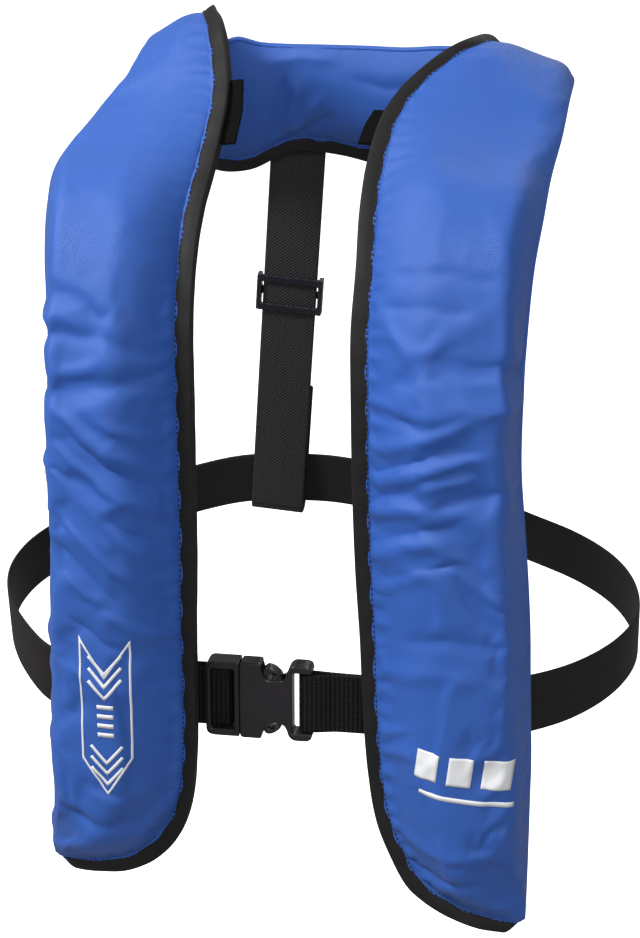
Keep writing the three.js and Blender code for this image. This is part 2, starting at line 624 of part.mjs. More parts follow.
function maleBody() {
  const top = BUCKLE_HEIGHT / 2 - 0.6;
  const shape = new THREE.Shape();
  shape.moveTo(BUCKLE_LEFT, -top + 5);
  shape.quadraticCurveTo(BUCKLE_LEFT, -top, BUCKLE_LEFT + 5, -top);
  shape.lineTo(MOUTH_X - FIT, -top);
  shape.lineTo(MOUTH_X - FIT, top);
  shape.lineTo(BUCKLE_LEFT + 5, top);
  shape.quadraticCurveTo(BUCKLE_LEFT, top, BUCKLE_LEFT, top - 5);
  shape.closePath();
  const tall = BELT_WIDTH / 2 + 1;
  const window = block([BUCKLE_LEFT + 3, BUCKLE_NEAR - 1, -tall], [MOUTH_X - 3.4, BUCKLE_FAR + 3, tall]);
  const behindLeftBar = block([BUCKLE_LEFT - 1, -3.6, -tall], [BUCKLE_LEFT + 4, BUCKLE_FAR + 3, tall]);
  const frame = cut(plate(shape, BUCKLE_NEAR + 1, BUCKLE_FAR + 1.5), window, behindLeftBar);
  const centreBar = block([-43.4, 0.4, -tall - 0.5], [-38.8, 3.4, tall + 0.5]);
  const stem = block([MOUTH_X - 1, PRONG_NEAR, -4], [SOCKET_END - 1.5, PRONG_FAR, 4]);
  const shoulders = block([MOUTH_X - 1, PRONG_NEAR, -BUCKLE_HEIGHT / 2 + SOCKET_WALL + 0.6],
    [MOUTH_X + 3, PRONG_FAR, BUCKLE_HEIGHT / 2 - SOCKET_WALL - 0.6]);
  return join(frame, centreBar, stem, shoulders);
}

// One sprung arm with an oval ear that stands in the female's side opening.
function prong(side) {
  const root = MOUTH_X + 3 + FIT;
  const arm = new THREE.Shape();
  arm.moveTo(root, 9.5);
  arm.lineTo(root + 8, 11);
  arm.quadraticCurveTo(-19, 12, -17.5, 12);
  arm.quadraticCurveTo(-15, 10.5, -11, 10.2);
  arm.quadraticCurveTo(-6.5, 10.5, -5, 13);
  arm.quadraticCurveTo(-4.6, 15, -6.5, 18);
  arm.quadraticCurveTo(-10.5, 22.3, -14, 22);
  arm.quadraticCurveTo(-16.4, 21.5, -16.8, 18.5);
  arm.lineTo(-17, 15.6);
  arm.lineTo(root, 13.4);
  arm.closePath();
  const eye = new THREE.Path();
  eye.absellipse(-11.2, 16.2, 3.9, 2.5, 0, Math.PI * 2, false);
  arm.holes.push(eye);
  const solid = plate(arm, PRONG_NEAR, PRONG_FAR);
  return side > 0 ? solid : solid.rotateX(Math.PI).translate(0, PRONG_NEAR + PRONG_FAR, 0);
}

function addBuckle() {
  const frame = new THREE.Group();
  frame.position.z = BUCKLE_Z;
  jacket.add(frame);
  add("buckle_female", femaleBody(), buckleNylon, frame);
  add("buckle_male", maleBody(), buckleNylon, frame);
  add("prong_upper", prong(1), buckleNylon, frame);
  add("prong_lower", prong(-1), buckleNylon, frame);
}

// ---------- inflator ----------
const SOCKET_DEPTH = 9;
const PIN_BORE = 4.2;
const BODY_BOTTOM = INFLATOR_TOP - INFLATOR_HEIGHT;
const LEVER_PIVOT = [INFLATOR_X + INFLATOR_WIDTH / 2 + 5, INFLATOR_TOP - 34];
const LEVER_NEAR = INFLATOR_Y - 3;
const LEVER_FAR = INFLATOR_Y + 3;
const LEVER_PIN_RADIUS = 1.4;

function inflatorBody() {
  const near = INFLATOR_Y - INFLATOR_DEPTH / 2;
  const far = INFLATOR_Y + INFLATOR_DEPTH / 2;
  const half = INFLATOR_WIDTH / 2;
  const shape = new THREE.Shape();
  shape.moveTo(INFLATOR_X - half, BODY_BOTTOM + 4);
  shape.lineTo(INFLATOR_X - half + 4, BODY_BOTTOM);
  shape.lineTo(INFLATOR_X + half, BODY_BOTTOM);
  shape.lineTo(INFLATOR_X + half, INFLATOR_TOP - 3);
  shape.lineTo(INFLATOR_X + half - 3, INFLATOR_TOP);
  shape.lineTo(INFLATOR_X - half + 3, INFLATOR_TOP);
  shape.lineTo(INFLATOR_X - half, INFLATOR_TOP - 3);
  shape.closePath();
  const cheek = (y0, y1) => block([INFLATOR_X + half - 1, y0, LEVER_PIVOT[1] - 5],
    [LEVER_PIVOT[0] + 4, y1, LEVER_PIVOT[1] + 5]);
  const body = join(plate(shape, near, far), cheek(LEVER_NEAR - 3.4, LEVER_NEAR - 0.4),
    cheek(LEVER_FAR + 0.4, LEVER_FAR + 3.4));
  const socket = rod(CYLINDER_NECK + FIT, INFLATOR_X, INFLATOR_Y, INFLATOR_TOP - SOCKET_DEPTH, INFLATOR_TOP + 1);
  const pinBore = rod(PIN_BORE, INFLATOR_X, INFLATOR_Y, INFLATOR_TOP - SOCKET_DEPTH - 22, INFLATOR_TOP, 12);
  const bobbinBore = rod(8, INFLATOR_X, INFLATOR_Y, BODY_BOTTOM - 1, BODY_BOTTOM + 9);
  const leverBore = new THREE.CylinderGeometry(LEVER_PIN_RADIUS + FIT, LEVER_PIN_RADIUS + FIT, 30, 12)
    .translate(LEVER_PIVOT[0], INFLATOR_Y, LEVER_PIVOT[1]);
  return cut(body, socket, pinBore, bobbinBore, leverBore);
}

function gasCylinder() {
  const seat = INFLATOR_TOP - SOCKET_DEPTH + 1.5;
  const shoulder = INFLATOR_TOP + FIT + 3;
  const top = shoulder + CYLINDER_LENGTH;
  const r = CYLINDER_RADIUS;
  return turned([
    [0, 0], [CYLINDER_NECK, 0], [CYLINDER_NECK, shoulder - seat], [r * 0.7, shoulder - seat + 5],
    [r, shoulder - seat + 14], [r, top - seat - 12], [r * 0.8, top - seat - 4], [r * 0.4, top - seat],
    [0, top - seat],
  ], INFLATOR_X, INFLATOR_Y, seat, 24);
}

function pinSpring() {
  class Coil extends THREE.Curve {
    getPoint(t, target = new THREE.Vector3()) {
      const turn = t * Math.PI * 2 * 4;
      return target.set(3.1 * Math.cos(turn), 3.1 * Math.sin(turn), t * 9);
    }
  }
  const wire = new THREE.Shape().absarc(0, 0, 0.45, 0, Math.PI * 2);
  return new THREE.ExtrudeGeometry(wire, { steps: 48, extrudePath: new Coil(), curveSegments: 3 })
    .translate(INFLATOR_X, INFLATOR_Y, INFLATOR_TOP - SOCKET_DEPTH - 17);
}

function firingLever() {
  const [x, z] = LEVER_PIVOT;
  const arm = new THREE.Shape();
  arm.absarc(x, z, 4, Math.PI, Math.PI * 2);
  arm.lineTo(x + 3, z + LEVER_RADIUS);
  arm.quadraticCurveTo(x, z + LEVER_RADIUS + 3, x - 3, z + LEVER_RADIUS);
  arm.closePath();
  const solid = plate(arm, LEVER_NEAR, LEVER_FAR);
  const bore = new THREE.CylinderGeometry(LEVER_PIN_RADIUS + FIT, LEVER_PIN_RADIUS + FIT, 30, 12)
    .translate(x, INFLATOR_Y, z);
  const eye = new THREE.CylinderGeometry(1.6, 1.6, 30, 10).translate(x, INFLATOR_Y, z + LEVER_RADIUS - 3);
  return cut(solid, bore, eye);
}

function addInflator() {
  add("inflator_body", inflatorBody(), inflatorPlastic);
  add("gas_cylinder", gasCylinder(), cylinderSteel);
  const pinTop = INFLATOR_TOP - SOCKET_DEPTH - 3;
  add("piercing_pin", turned([
    [0, 0], [2.4, 0], [2.4, 2], [PIN_RADIUS, 2], [PIN_RADIUS, PIN_LENGTH - 3], [0, PIN_LENGTH],
  ], INFLATOR_X, INFLATOR_Y, pinTop - PIN_LENGTH, 12), pinSteel);
  add("pin_spring", pinSpring(), pinSteel);
  add("cylinder_seal", new THREE.TorusGeometry(8.2, 1.1, 6, 18)
    .translate(INFLATOR_X, INFLATOR_Y, INFLATOR_TOP + 1.1 + FIT), sealRubber);
  add("firing_lever", firingLever(), handleRed);
  add("lever_pin", new THREE.CylinderGeometry(LEVER_PIN_RADIUS, LEVER_PIN_RADIUS, 12, 12)
    .translate(LEVER_PIVOT[0], INFLATOR_Y, LEVER_PIVOT[1]), pinSteel);
  const capTop = BODY_BOTTOM - FIT;
  add("bobbin_cap", turned([
    [0, 0], [BOBBIN_CAP_RADIUS - 1.5, 0], [BOBBIN_CAP_RADIUS, 1.5], [BOBBIN_CAP_RADIUS, BOBBIN_CAP_HEIGHT],
    [9, BOBBIN_CAP_HEIGHT], [9, 2.5], [0, 2.5],
  ], INFLATOR_X, INFLATOR_Y, capTop - BOBBIN_CAP_HEIGHT, 24), capYellow);
  add("bobbin", rod(7, INFLATOR_X, INFLATOR_Y, capTop - 13, capTop + 7, 16), finish(0xf2f0ea, 0.9));
  const nutHeight = 3.5;
  add("clamp_nut", new THREE.CylinderGeometry(8, 8, nutHeight, 6)
    .translate(INFLATOR_X, INFLATOR_Y - INFLATOR_DEPTH / 2 - nutHeight / 2 - FIT, INFLATOR_TOP - 20),
  brassFitting);
  addPull();
}

const TOGGLE_HALF = 6.5;
const TOGGLE_HEIGHT = 13;
const TOGGLE_DEPTH = 6;

function addPull() {
  const [x, z] = LEVER_PIVOT;
  const y = LEVER_NEAR - 1.5;
  const hang = x + 3; // the cord comes down here to the toggle
  const drop = 16;
  const lanyard = new THREE.CatmullRomCurve3([
    [x + 4.8, y - 3.4, z + LEVER_RADIUS - 2], [x + 7.5, y - 2, z + 6], [x + 7, y, z - 6],
    [hang, y + 8, z - drop],
  ].map((point) => new THREE.Vector3(...point)));
  const section = new THREE.Shape().absarc(0, 0, 1.2, 0, Math.PI * 2);
  add("pull_lanyard", new THREE.ExtrudeGeometry(section,
    { steps: 14, extrudePath: lanyard, curveSegments: 4 }), handleRed);
  const top = z - drop - FIT * 4;
  const handle = new THREE.Shape();
  handle.moveTo(hang - TOGGLE_HALF + 2, top);
  handle.lineTo(hang + TOGGLE_HALF - 2, top);
  handle.quadraticCurveTo(hang + TOGGLE_HALF, top - 3, hang + TOGGLE_HALF, top - TOGGLE_HEIGHT);
  handle.lineTo(hang - TOGGLE_HALF, top - TOGGLE_HEIGHT);
  handle.quadraticCurveTo(hang - TOGGLE_HALF, top - 3, hang - TOGGLE_HALF + 2, top);
  add("pull_toggle", plate(handle, y + 8 - TOGGLE_DEPTH / 2, y + 8 + TOGGLE_DEPTH / 2), handleRed);
}

// ---------- oral tube ----------
function addOralTube() {
  const top = ORAL_LENGTH;
  const bore = ORAL_RADIUS - ORAL_WALL;
  add("oral_tube", turned([
    [bore, 0], [14, 0], [14, 2], [ORAL_RADIUS + 1.5, 3.5], [ORAL_RADIUS, 8], [ORAL_RADIUS, top], [bore, top],
    [bore, 0],
  ], ORAL_X, ORAL_Y, ORAL_FOOT_Z, 20), tubeRubber);
  const valveZ = ORAL_FOOT_Z + top + FIT;
  add("oral_valve", turned([
    [2.5, 0], [8, 0], [8, 4], [7, 5], [7, 18], [5, 20], [4, 20], [4, 3], [2.5, 3], [2.5, 0],
  ], ORAL_X, ORAL_Y, valveZ, 20), inflatorPlastic);
  add("valve_poppet", turned([
    [0, 0], [1.6, 0], [1.6, 5], [3.4, 6], [3.4, 8], [1.4, 9], [1.4, 17.5], [0, 17.5],
  ], ORAL_X, ORAL_Y, valveZ + 1, 12), handleRed);
  add("oral_cap", turned([
    [7 + FIT, 0], [9.2, 0], [9.2, 15], [7.5, 17], [0, 17], [0, 15.2], [7 + FIT, 15.2], [7 + FIT, 0],
  ], ORAL_X, ORAL_Y, valveZ + 6, 20), inflatorPlastic);
}

function addWhistle() {
  const z = ORAL_FOOT_Z + 38;
  const inner = ORAL_RADIUS + FIT;
  const ring = cut(rod(inner + 2, ORAL_X, ORAL_Y, z, z + 7, 20), rod(inner, ORAL_X, ORAL_Y, z - 1, z + 8, 20));
  const body = block([ORAL_X + inner + 1.2, ORAL_Y - 5, z - 16], [ORAL_X + inner + 15, ORAL_Y + 5, z + 22]);
  const mouth = block([ORAL_X + inner + 3, ORAL_Y - 2.5, z + 12], [ORAL_X + inner + 13, ORAL_Y + 2.5, z + 24]);
  const window = block([ORAL_X + inner + 3, ORAL_Y - 7, z + 4], [ORAL_X + inner + 13, ORAL_Y - 1, z + 8]);
  add("whistle", cut(join(ring, body), mouth, window), whistleOrange);
}

addCover();
addClosureTabs();
addBelts();
addStrap();
addBuckle();
addInflator();
addOralTube();
addWhistle();

export default jacket;
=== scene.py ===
# %% [markdown]
# # An inflatable life jacket, piece by piece
# The jacket is a folded bladder in a horseshoe cover of coated nylon. A waist belt with a side-release
# buckle and a strap down the back hold it on. The rigid frame, with every moving body, already exists, so
# this lesson builds the looks on it: cloth, tape, webbing and moulded plastic. Sizes are in millimetres
# until a mesh is made, because that is how such a jacket is drawn; Blender gets metres.

# %% Load the rigid frame
import math

import bmesh
import bpy
import numpy as np
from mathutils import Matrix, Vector
from mathutils.bvhtree import BVHTree


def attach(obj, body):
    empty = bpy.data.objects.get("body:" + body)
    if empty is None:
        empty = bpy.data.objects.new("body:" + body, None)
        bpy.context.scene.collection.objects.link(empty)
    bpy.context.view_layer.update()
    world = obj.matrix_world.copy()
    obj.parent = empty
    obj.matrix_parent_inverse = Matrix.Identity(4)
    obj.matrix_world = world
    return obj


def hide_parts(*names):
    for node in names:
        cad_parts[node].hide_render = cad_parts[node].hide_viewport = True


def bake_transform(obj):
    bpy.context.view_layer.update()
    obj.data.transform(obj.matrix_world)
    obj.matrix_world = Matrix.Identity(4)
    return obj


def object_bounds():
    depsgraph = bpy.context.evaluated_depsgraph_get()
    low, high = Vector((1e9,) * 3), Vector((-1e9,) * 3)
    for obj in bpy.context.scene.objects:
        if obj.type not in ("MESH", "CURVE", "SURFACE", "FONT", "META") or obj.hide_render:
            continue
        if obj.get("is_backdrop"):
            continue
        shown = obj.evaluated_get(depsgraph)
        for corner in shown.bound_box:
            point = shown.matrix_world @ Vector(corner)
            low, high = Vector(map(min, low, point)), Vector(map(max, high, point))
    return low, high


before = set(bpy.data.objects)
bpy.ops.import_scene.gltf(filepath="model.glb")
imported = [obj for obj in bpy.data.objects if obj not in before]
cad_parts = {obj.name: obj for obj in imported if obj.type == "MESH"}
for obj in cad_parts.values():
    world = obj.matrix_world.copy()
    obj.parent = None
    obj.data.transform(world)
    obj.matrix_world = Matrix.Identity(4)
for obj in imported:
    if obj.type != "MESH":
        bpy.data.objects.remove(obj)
frame_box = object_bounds()
ORIGIN = np.array([12.0, 125.0, 262.0])  # the frame's zero, between the shoulders, in this drawing
print("frame box", [round(v, 3) for corner in frame_box for v in corner])

# %% [markdown]
# ## Shader groups
# Several finishes share an effect. A woven surface is two sets of threads that pass over and under, which
# is a product of two sine waves. A moulded or dyed surface is never quite even, which is soft noise. Each
# effect is one group, used with different values in each material.

# %% Helpers for node groups
def socket(group, name, kind, direction, value=None):
    made = group.interface.new_socket(name=name, in_out=direction, socket_type=kind)
    if value is not None:
        made.default_value = value
    return made


def math_node(tree, operation, a, b=None):
    node = tree.nodes.new("ShaderNodeMath")
    node.operation = operation
    for index, value in enumerate((a, b)):
        if value is None:
            continue
        if isinstance(value, (int, float)):
            node.inputs[index].default_value = value
        else:
            tree.links.new(value, node.inputs[index])
    return node.outputs[0]


def scaled(tree, color, factor):
    node = tree.nodes.new("ShaderNodeVectorMath")
    node.operation = "SCALE"
    tree.links.new(color, node.inputs[0])
    tree.links.new(factor, node.inputs["Scale"])
    return node.outputs[0]


# %% The weave group
def make_weave_group():
    group = bpy.data.node_groups.new("woven_threads", "ShaderNodeTree")
    socket(group, "Vector", "NodeSocketVector", "INPUT")
    socket(group, "Pitch Across", "NodeSocketFloat", "INPUT", 1.0)
    socket(group, "Pitch Along", "NodeSocketFloat", "INPUT", 1.0)
    socket(group, "Ribs", "NodeSocketFloat", "INPUT", 0.0)
    socket(group, "Height", "NodeSocketFloat", "OUTPUT")
    inlet = group.nodes.new("NodeGroupInput")
    outlet = group.nodes.new("NodeGroupOutput")
    split = group.nodes.new("ShaderNodeSeparateXYZ")
    group.links.new(inlet.outputs["Vector"], split.inputs[0])
    waves = []
    for axis, pitch in (("X", "Pitch Across"), ("Y", "Pitch Along")):
        turns = math_node(group, "DIVIDE", split.outputs[axis], inlet.outputs[pitch])
        waves.append(math_node(group, "SINE", math_node(group, "MULTIPLY", turns, 2 * math.pi)))
    product = math_node(group, "MULTIPLY", waves[0], waves[1])
    plain = math_node(group, "ADD", math_node(group, "MULTIPLY", product, 0.5), 0.5)
    raised = [math_node(group, "ADD", math_node(group, "MULTIPLY", wave, 0.5), 0.5) for wave in waves]
    ribbed = math_node(group, "MULTIPLY", raised[0], raised[1])
    change = math_node(group, "MULTIPLY", math_node(group, "SUBTRACT", ribbed, plain), inlet.outputs["Ribs"])
    height = math_node(group, "ADD", plain, change)
    group.links.new(height, outlet.inputs["Height"])
    return group


weave_group = make_weave_group()

# %% The uneven dye group
def make_mottle_group():
    group = bpy.data.node_groups.new("uneven_dye", "ShaderNodeTree")
    socket(group, "Color", "NodeSocketColor", "INPUT", (0.5, 0.5, 0.5, 1))
    socket(group, "Scale", "NodeSocketFloat", "INPUT", 20.0)
    socket(group, "Amount", "NodeSocketFloat", "INPUT", 0.1)
    socket(group, "Color", "NodeSocketColor", "OUTPUT")
    socket(group, "Cloud", "NodeSocketFloat", "OUTPUT")
    inlet = group.nodes.new("NodeGroupInput")
    outlet = group.nodes.new("NodeGroupOutput")
    place = group.nodes.new("ShaderNodeTexCoord")
    noise = group.nodes.new("ShaderNodeTexNoise")
    noise.inputs["Detail"].default_value = 4.0
    group.links.new(place.outputs["Object"], noise.inputs["Vector"])
    group.links.new(inlet.outputs["Scale"], noise.inputs["Scale"])
    swing = math_node(group, "MULTIPLY", math_node(group, "SUBTRACT", noise.outputs["Fac"], 0.5), 2.0)
    bright = math_node(group, "ADD", math_node(group, "MULTIPLY", swing, inlet.outputs["Amount"]), 1.0)
    group.links.new(scaled(group, inlet.outputs["Color"], bright), outlet.inputs["Color"])
    group.links.new(noise.outputs["Fac"], outlet.inputs["Cloud"])
    return group


mottle_group = make_mottle_group()

# %% [markdown]
# ## Materials
# One function makes every material: a colour with uneven dye, a roughness that wanders a little, and a bump
# from the weave or from fine grain. On woven cloth the colour also carries a painted highlight on the raised
# threads and painted shade between them. The values are what tell nylon cloth, tape, webbing and plastic
# apart.

# %% Groups and grain in a material
def placed_group(tree, group, values):
    """A node group in a material, with the values that this material gives it."""
    node = tree.nodes.new("ShaderNodeGroup")
    node.node_tree = group
    for name, value in values.items():
        node.inputs[name].default_value = value
    return node


def woven_height(tree, weave, ribs):
    place = tree.nodes.new("ShaderNodeUVMap")
    place.uv_map = "flat"
    threads = {"Pitch Across": weave[0], "Pitch Along": weave[1], "Ribs": ribs}
    cloth = placed_group(tree, weave_group, threads)
    tree.links.new(place.outputs["UV"], cloth.inputs["Vector"])
    return cloth.outputs["Height"]


def grain_height(tree, grain):
    place = tree.nodes.new("ShaderNodeTexCoord")
    speckle = tree.nodes.new("ShaderNodeTexNoise")
    speckle.inputs["Scale"].default_value = grain
    speckle.inputs["Detail"].default_value = 2.0
    tree.links.new(place.outputs["Object"], speckle.inputs["Vector"])
    return speckle.outputs["Fac"]


# %% The material maker
RELIEF = 0.0004  # metres between the top and the foot of a thread or a grain
WANDER = 0.25  # how much the roughness changes with the dye


def finish(name, color, roughness, weave=None, grain=900.0, mottle=0.08, scale=18.0, metal=0.0,
           sheen=0.0, bump=0.3, painted_thread_highlight=0.0, gloss=0.5, ribs=0.0):
    material = bpy.data.materials.new(name)
    material.use_nodes = True
    tree = material.node_tree
    shader = tree.nodes["Principled BSDF"]
    shader.inputs["Metallic"].default_value = metal
    shader.inputs["Sheen Weight"].default_value = sheen
    shader.inputs["Specular IOR Level"].default_value = gloss
    dye = placed_group(tree, mottle_group, {"Color": (*color, 1), "Scale": scale, "Amount": mottle})
    base = dye.outputs["Color"]
    swing = math_node(tree, "MULTIPLY", math_node(tree, "SUBTRACT", dye.outputs["Cloud"], 0.5), WANDER)
    tree.links.new(math_node(tree, "ADD", swing, roughness), shader.inputs["Roughness"])
    if weave:
        height = woven_height(tree, weave, ribs)
        # Painted highlight and painted shade: the raised threads are painted lighter and the gaps between
        # them darker.
        painted_thread_light = math_node(tree, "ADD", math_node(tree, "MULTIPLY", height, painted_thread_highlight), 1 - painted_thread_highlight / 2)
        base = scaled(tree, base, painted_thread_light)
    else:
        height = grain_height(tree, grain)
    raised = tree.nodes.new("ShaderNodeBump")
    raised.inputs["Strength"].default_value = bump
    raised.inputs["Distance"].default_value = RELIEF
    tree.links.new(height, raised.inputs["Height"])
    tree.links.new(base, shader.inputs["Base Color"])
    tree.links.new(raised.outputs["Normal"], shader.inputs["Normal"])
    return material


# %% The finishes of this jacket
# On the woven finishes one value sets how strongly a highlight and shade are painted onto the threads.
blue_nylon = finish("blue_coated_nylon", (0.029, 0.112, 0.46), 0.48, weave=(1.3, 1.3), bump=0.5,
                    mottle=0.08, scale=9, sheen=0.03, painted_thread_highlight=0.3, gloss=0.4)
edge_tape = finish("edge_binding_tape", (0.017, 0.016, 0.016), 0.5, weave=(0.8, 0.8), bump=0.25,
                   mottle=0.16, scale=30, painted_thread_highlight=0.2, gloss=0.18)
belt_cloth = finish("smooth_belt_webbing", (0.02, 0.018, 0.017), 0.55, weave=(1.0, 0.7), bump=0.25,
                    mottle=0.12, scale=22, painted_thread_highlight=0.2, gloss=0.12)
ribbed_webbing = finish("ribbed_webbing", (0.007, 0.0065, 0.007), 0.6, weave=(1.5, 2.8), bump=1.0,
                        mottle=0.15, scale=40, painted_thread_highlight=2.0, gloss=0.22, ribs=1.0)
strap_webbing = finish("back_strap_webbing", (0.022, 0.02, 0.021), 0.6, weave=(3.0, 2.2), bump=0.9,
                       mottle=0.15, scale=40, painted_thread_highlight=1.9, gloss=0.3)
hook_tape = finish("hook_tape", (0.004, 0.004, 0.004), 0.9, grain=2600, bump=1.0, gloss=0.1)
thread = finish("sewing_thread", (0.012, 0.011, 0.011), 0.6, grain=4000)
print_ink = finish("white_print", (0.8, 0.81, 0.83), 0.5, grain=1500, bump=0.15, mottle=0.03)
black_nylon = finish("buckle_nylon", (0.017, 0.014, 0.017), 0.27, grain=700, bump=0.12, mottle=0.1)
dark_plastic = finish("inflator_plastic", (0.02, 0.022, 0.025), 0.42, grain=900, bump=0.15)
orange_cloth = finish("bladder_cloth", (0.78, 0.3, 0.02), 0.5, grain=1200, bump=0.25)
yellow_cap = finish("cap_plastic", (0.72, 0.5, 0.03), 0.4, grain=900, bump=0.15)
red_plastic = finish("handle_plastic", (0.45, 0.02, 0.015), 0.4, grain=900, bump=0.15)
orange_plastic = finish("whistle_plastic", (0.75, 0.16, 0.01), 0.3, grain=900, bump=0.1)
zinc_steel = finish("zinc_steel", (0.55, 0.56, 0.58), 0.32, grain=500, bump=0.15, metal=1.0)
bright_steel = finish("bright_steel", (0.66, 0.67, 0.69), 0.25, grain=600, bump=0.08, metal=1.0)
brass = finish("turned_brass", (0.6, 0.42, 0.15), 0.3, grain=600, bump=0.1, metal=1.0)
black_rubber = finish("tube_rubber", (0.014, 0.014, 0.015), 0.7, grain=1300, bump=0.2)
pressed_white = finish("pressed_bobbin", (0.8, 0.78, 0.72), 0.85, grain=1800, bump=0.5)
print("materials", len(bpy.data.materials))

# %% [markdown]
# ## Mesh helpers
# Cloth and webbing are grids of points that numpy can bend all at once. One helper turns a grid into a
# mesh with a flat map in millimetres, so the weave keeps its real thread size on every piece.

# %% Objects and meshes
def placed(name, mesh, material):
    """A new object of this mesh and material, in the scene."""
    mesh.materials.append(material)
    made = bpy.data.objects.new(name, mesh)
    bpy.context.scene.collection.objects.link(made)
    return made


def finished_mesh(name, work):
    """The mesh of a bmesh whose work is done, with its faces turned outwards."""
    bmesh.ops.recalc_face_normals(work, faces=work.faces)
    mesh = bpy.data.meshes.new(name)
    work.to_mesh(mesh)
    work.free()
    return mesh


def finer(piece):
    """One round of subdivision, which also softens the outline."""
    rounds = piece.modifiers.new("fine", "SUBSURF")
    rounds.levels = rounds.render_levels = 1


# %% Grid to mesh
def grid_piece(name, points, flat, material, loop_across=False):
    rows, columns = points.shape[:2]
    index = np.arange(rows * columns).reshape(rows, columns)
    last = columns if loop_across else columns - 1
    faces = []
    for i in range(rows - 1):
        for j in range(last):
            k = (j + 1) % columns
            faces.append((index[i, j], index[i, k], index[i + 1, k], index[i + 1, j]))
    mesh = bpy.data.meshes.new(name)
    metres = (points.reshape(-1, 3) - ORIGIN) / 1000
    mesh.from_pydata(metres.tolist(), [], [tuple(int(v) for v in face) for face in faces])
    layer = mesh.uv_layers.new(name="flat")
    corners = np.zeros((len(faces) * 4, 2))
    width = flat[:, -1, 0] + (flat[:, -1, 0] - flat[:, -2, 0])
    at = 0
    for i in range(rows - 1):
        for j in range(last):
            closing = loop_across and j == columns - 1
            right = (width[i], flat[i, j, 1]) if closing else flat[i, j + 1]
            right_next = (width[i + 1], flat[i + 1, j, 1]) if closing else flat[i + 1, j + 1]
            corners[at:at + 4] = (flat[i, j], right, right_next, flat[i + 1, j])
            at += 4
    layer.data.foreach_set("uv", corners.ravel())
    mesh.shade_smooth()
    return placed(name, mesh, material)


def settle(obj):
    """Applies every modifier, so that the mesh is final."""
    bpy.context.view_layer.update()
    ready = obj.evaluated_get(bpy.context.evaluated_depsgraph_get())
    mesh = bpy.data.meshes.new_from_object(ready)
    obj.modifiers.clear()
    obj.data = mesh
    mesh.shade_smooth()
    return obj


def flat_map(points):
    across = np.linalg.norm(np.diff(points, axis=1), axis=2)
    along = np.linalg.norm(np.diff(points, axis=0), axis=2).mean(axis=1)
    u = np.concatenate([np.zeros((len(points), 1)), np.cumsum(across, axis=1)], axis=1)
    v = np.concatenate([[0.0], np.cumsum(along)])
    return np.stack([u, np.repeat(v[:, None], points.shape[1], axis=1)], axis=2)


# %% Smooth paths
def smooth(points, ts):
    """Catmull-Rom through the rows of points, at places ts counted in rows."""
    points = np.asarray(points, float)
    padded = np.vstack([2 * points[0] - points[1], points, 2 * points[-1] - points[-2]])
    first = np.clip(np.floor(ts).astype(int), 0, len(points) - 2)
    s = (ts - first)[:, None]
    a, b, c, d = (padded[first + k] for k in range(4))
    square = 2 * a - 5 * b + 4 * c - d
    cubic = 3 * b - a - 3 * c + d
    return 0.5 * (2 * b + (c - a) * s + square * s ** 2 + cubic * s ** 3)


def unit(vectors):
    return vectors / np.maximum(np.linalg.norm(vectors, axis=-1, keepdims=True), 1e-9)


def resample(points, step, fine=24):
    """Points at even distances along the smooth path through the given ones."""
    dense = smooth(points, np.linspace(0, len(points) - 1, fine * len(points)))
    length = np.concatenate([[0], np.cumsum(np.linalg.norm(np.diff(dense, axis=0), axis=1))])
    count = max(int(round(length[-1] / step)), 2)
    even = np.linspace(0, length[-1], count + 1)
    return np.stack([np.interp(even, length, dense[:, k]) for k in range(dense.shape[1])], axis=1), even


# %% [markdown]
# ## The horseshoe
# The cover is one long folded strip: up one lobe, round behind the neck and down the other. Each station
# holds a point on the opening edge, the point across from it on the fold, and how far the cloth stands out
# in front and behind. The last value is the share of the yoke, where the outer cloth starts further in.
# A smooth curve through the stations gives every row of the cloth.

# %% Stations of the strip
LEFT_LOBE = [
    (-134, -21, -222, -145, -19, -211, 1, 1, 0), (-118, -23, -222, -145, -18, -190, 10, 6, 0),
    (-98, -24, -219, -144, -17, -166, 21, 11, 0), (-80, -24, -209, -144, -16, -142, 28, 14, 0),
    (-66, -24, -192, -144, -16, -118, 30, 12, 0), (-58, -24, -168, -143, -16, -92, 30, 12, 0),
    (-55, -24, -138, -143, -16, -66, 30, 12, 0), (-54, -24, -100, -142, -16, -40, 30, 12, 0),
    (-54, -24, -55, -141, -16, -10, 30, 12, 0), (-53, -24, -10, -140, -16, 22, 30, 12, 0),
    (-53, -24, 40, -139, -16, 58, 30, 12, 0), (-53, -24, 90, -138, -16, 96, 30, 12, 0),
    (-54, -19, 130, -139, -12, 132, 28, 12, 0), (-54, -6, 164, -141, -4, 164, 25, 14, 0),
    (-53, 14, 190, -144, 16, 188, 20, 12, 0), (-50, 42, 215, -145, 44, 206, 10, 11, 0),
    (-48, 69, 243, -131, 77, 227, 5, 10, 0), (-53, 92, 264, -119, 104, 243, 5, 10, 0),
    (-60, 111, 279, -113, 126, 254, 5, 10, 0), (-67, 129, 284, -111, 147, 253, 5, 10, 0),
]
YOKE = [
    (-70, 146, 275, -109, 167, 226, 6, 11, 0.3), (-69, 157, 261, -101, 182, 196, 10, 11, 0.7),
    (-59, 162, 262, -84, 189, 176, 11, 11, 1), (-46, 167, 258, -60, 193, 174, 11, 11, 1),
    (-27, 169, 257, -33, 197, 186, 11, 11, 1), (-4, 170, 257, -5, 197, 186, 11, 11, 1),
    (20, 170, 257, 24, 194, 181, 11, 11, 1), (44, 168, 257, 54, 190, 180, 11, 11, 1),
    (64, 165, 259, 82, 187, 184, 11, 11, 1), (84, 158, 261, 108, 182, 197, 10, 11, 0.7),
    (97, 148, 268, 131, 169, 220, 6, 11, 0.3),
]
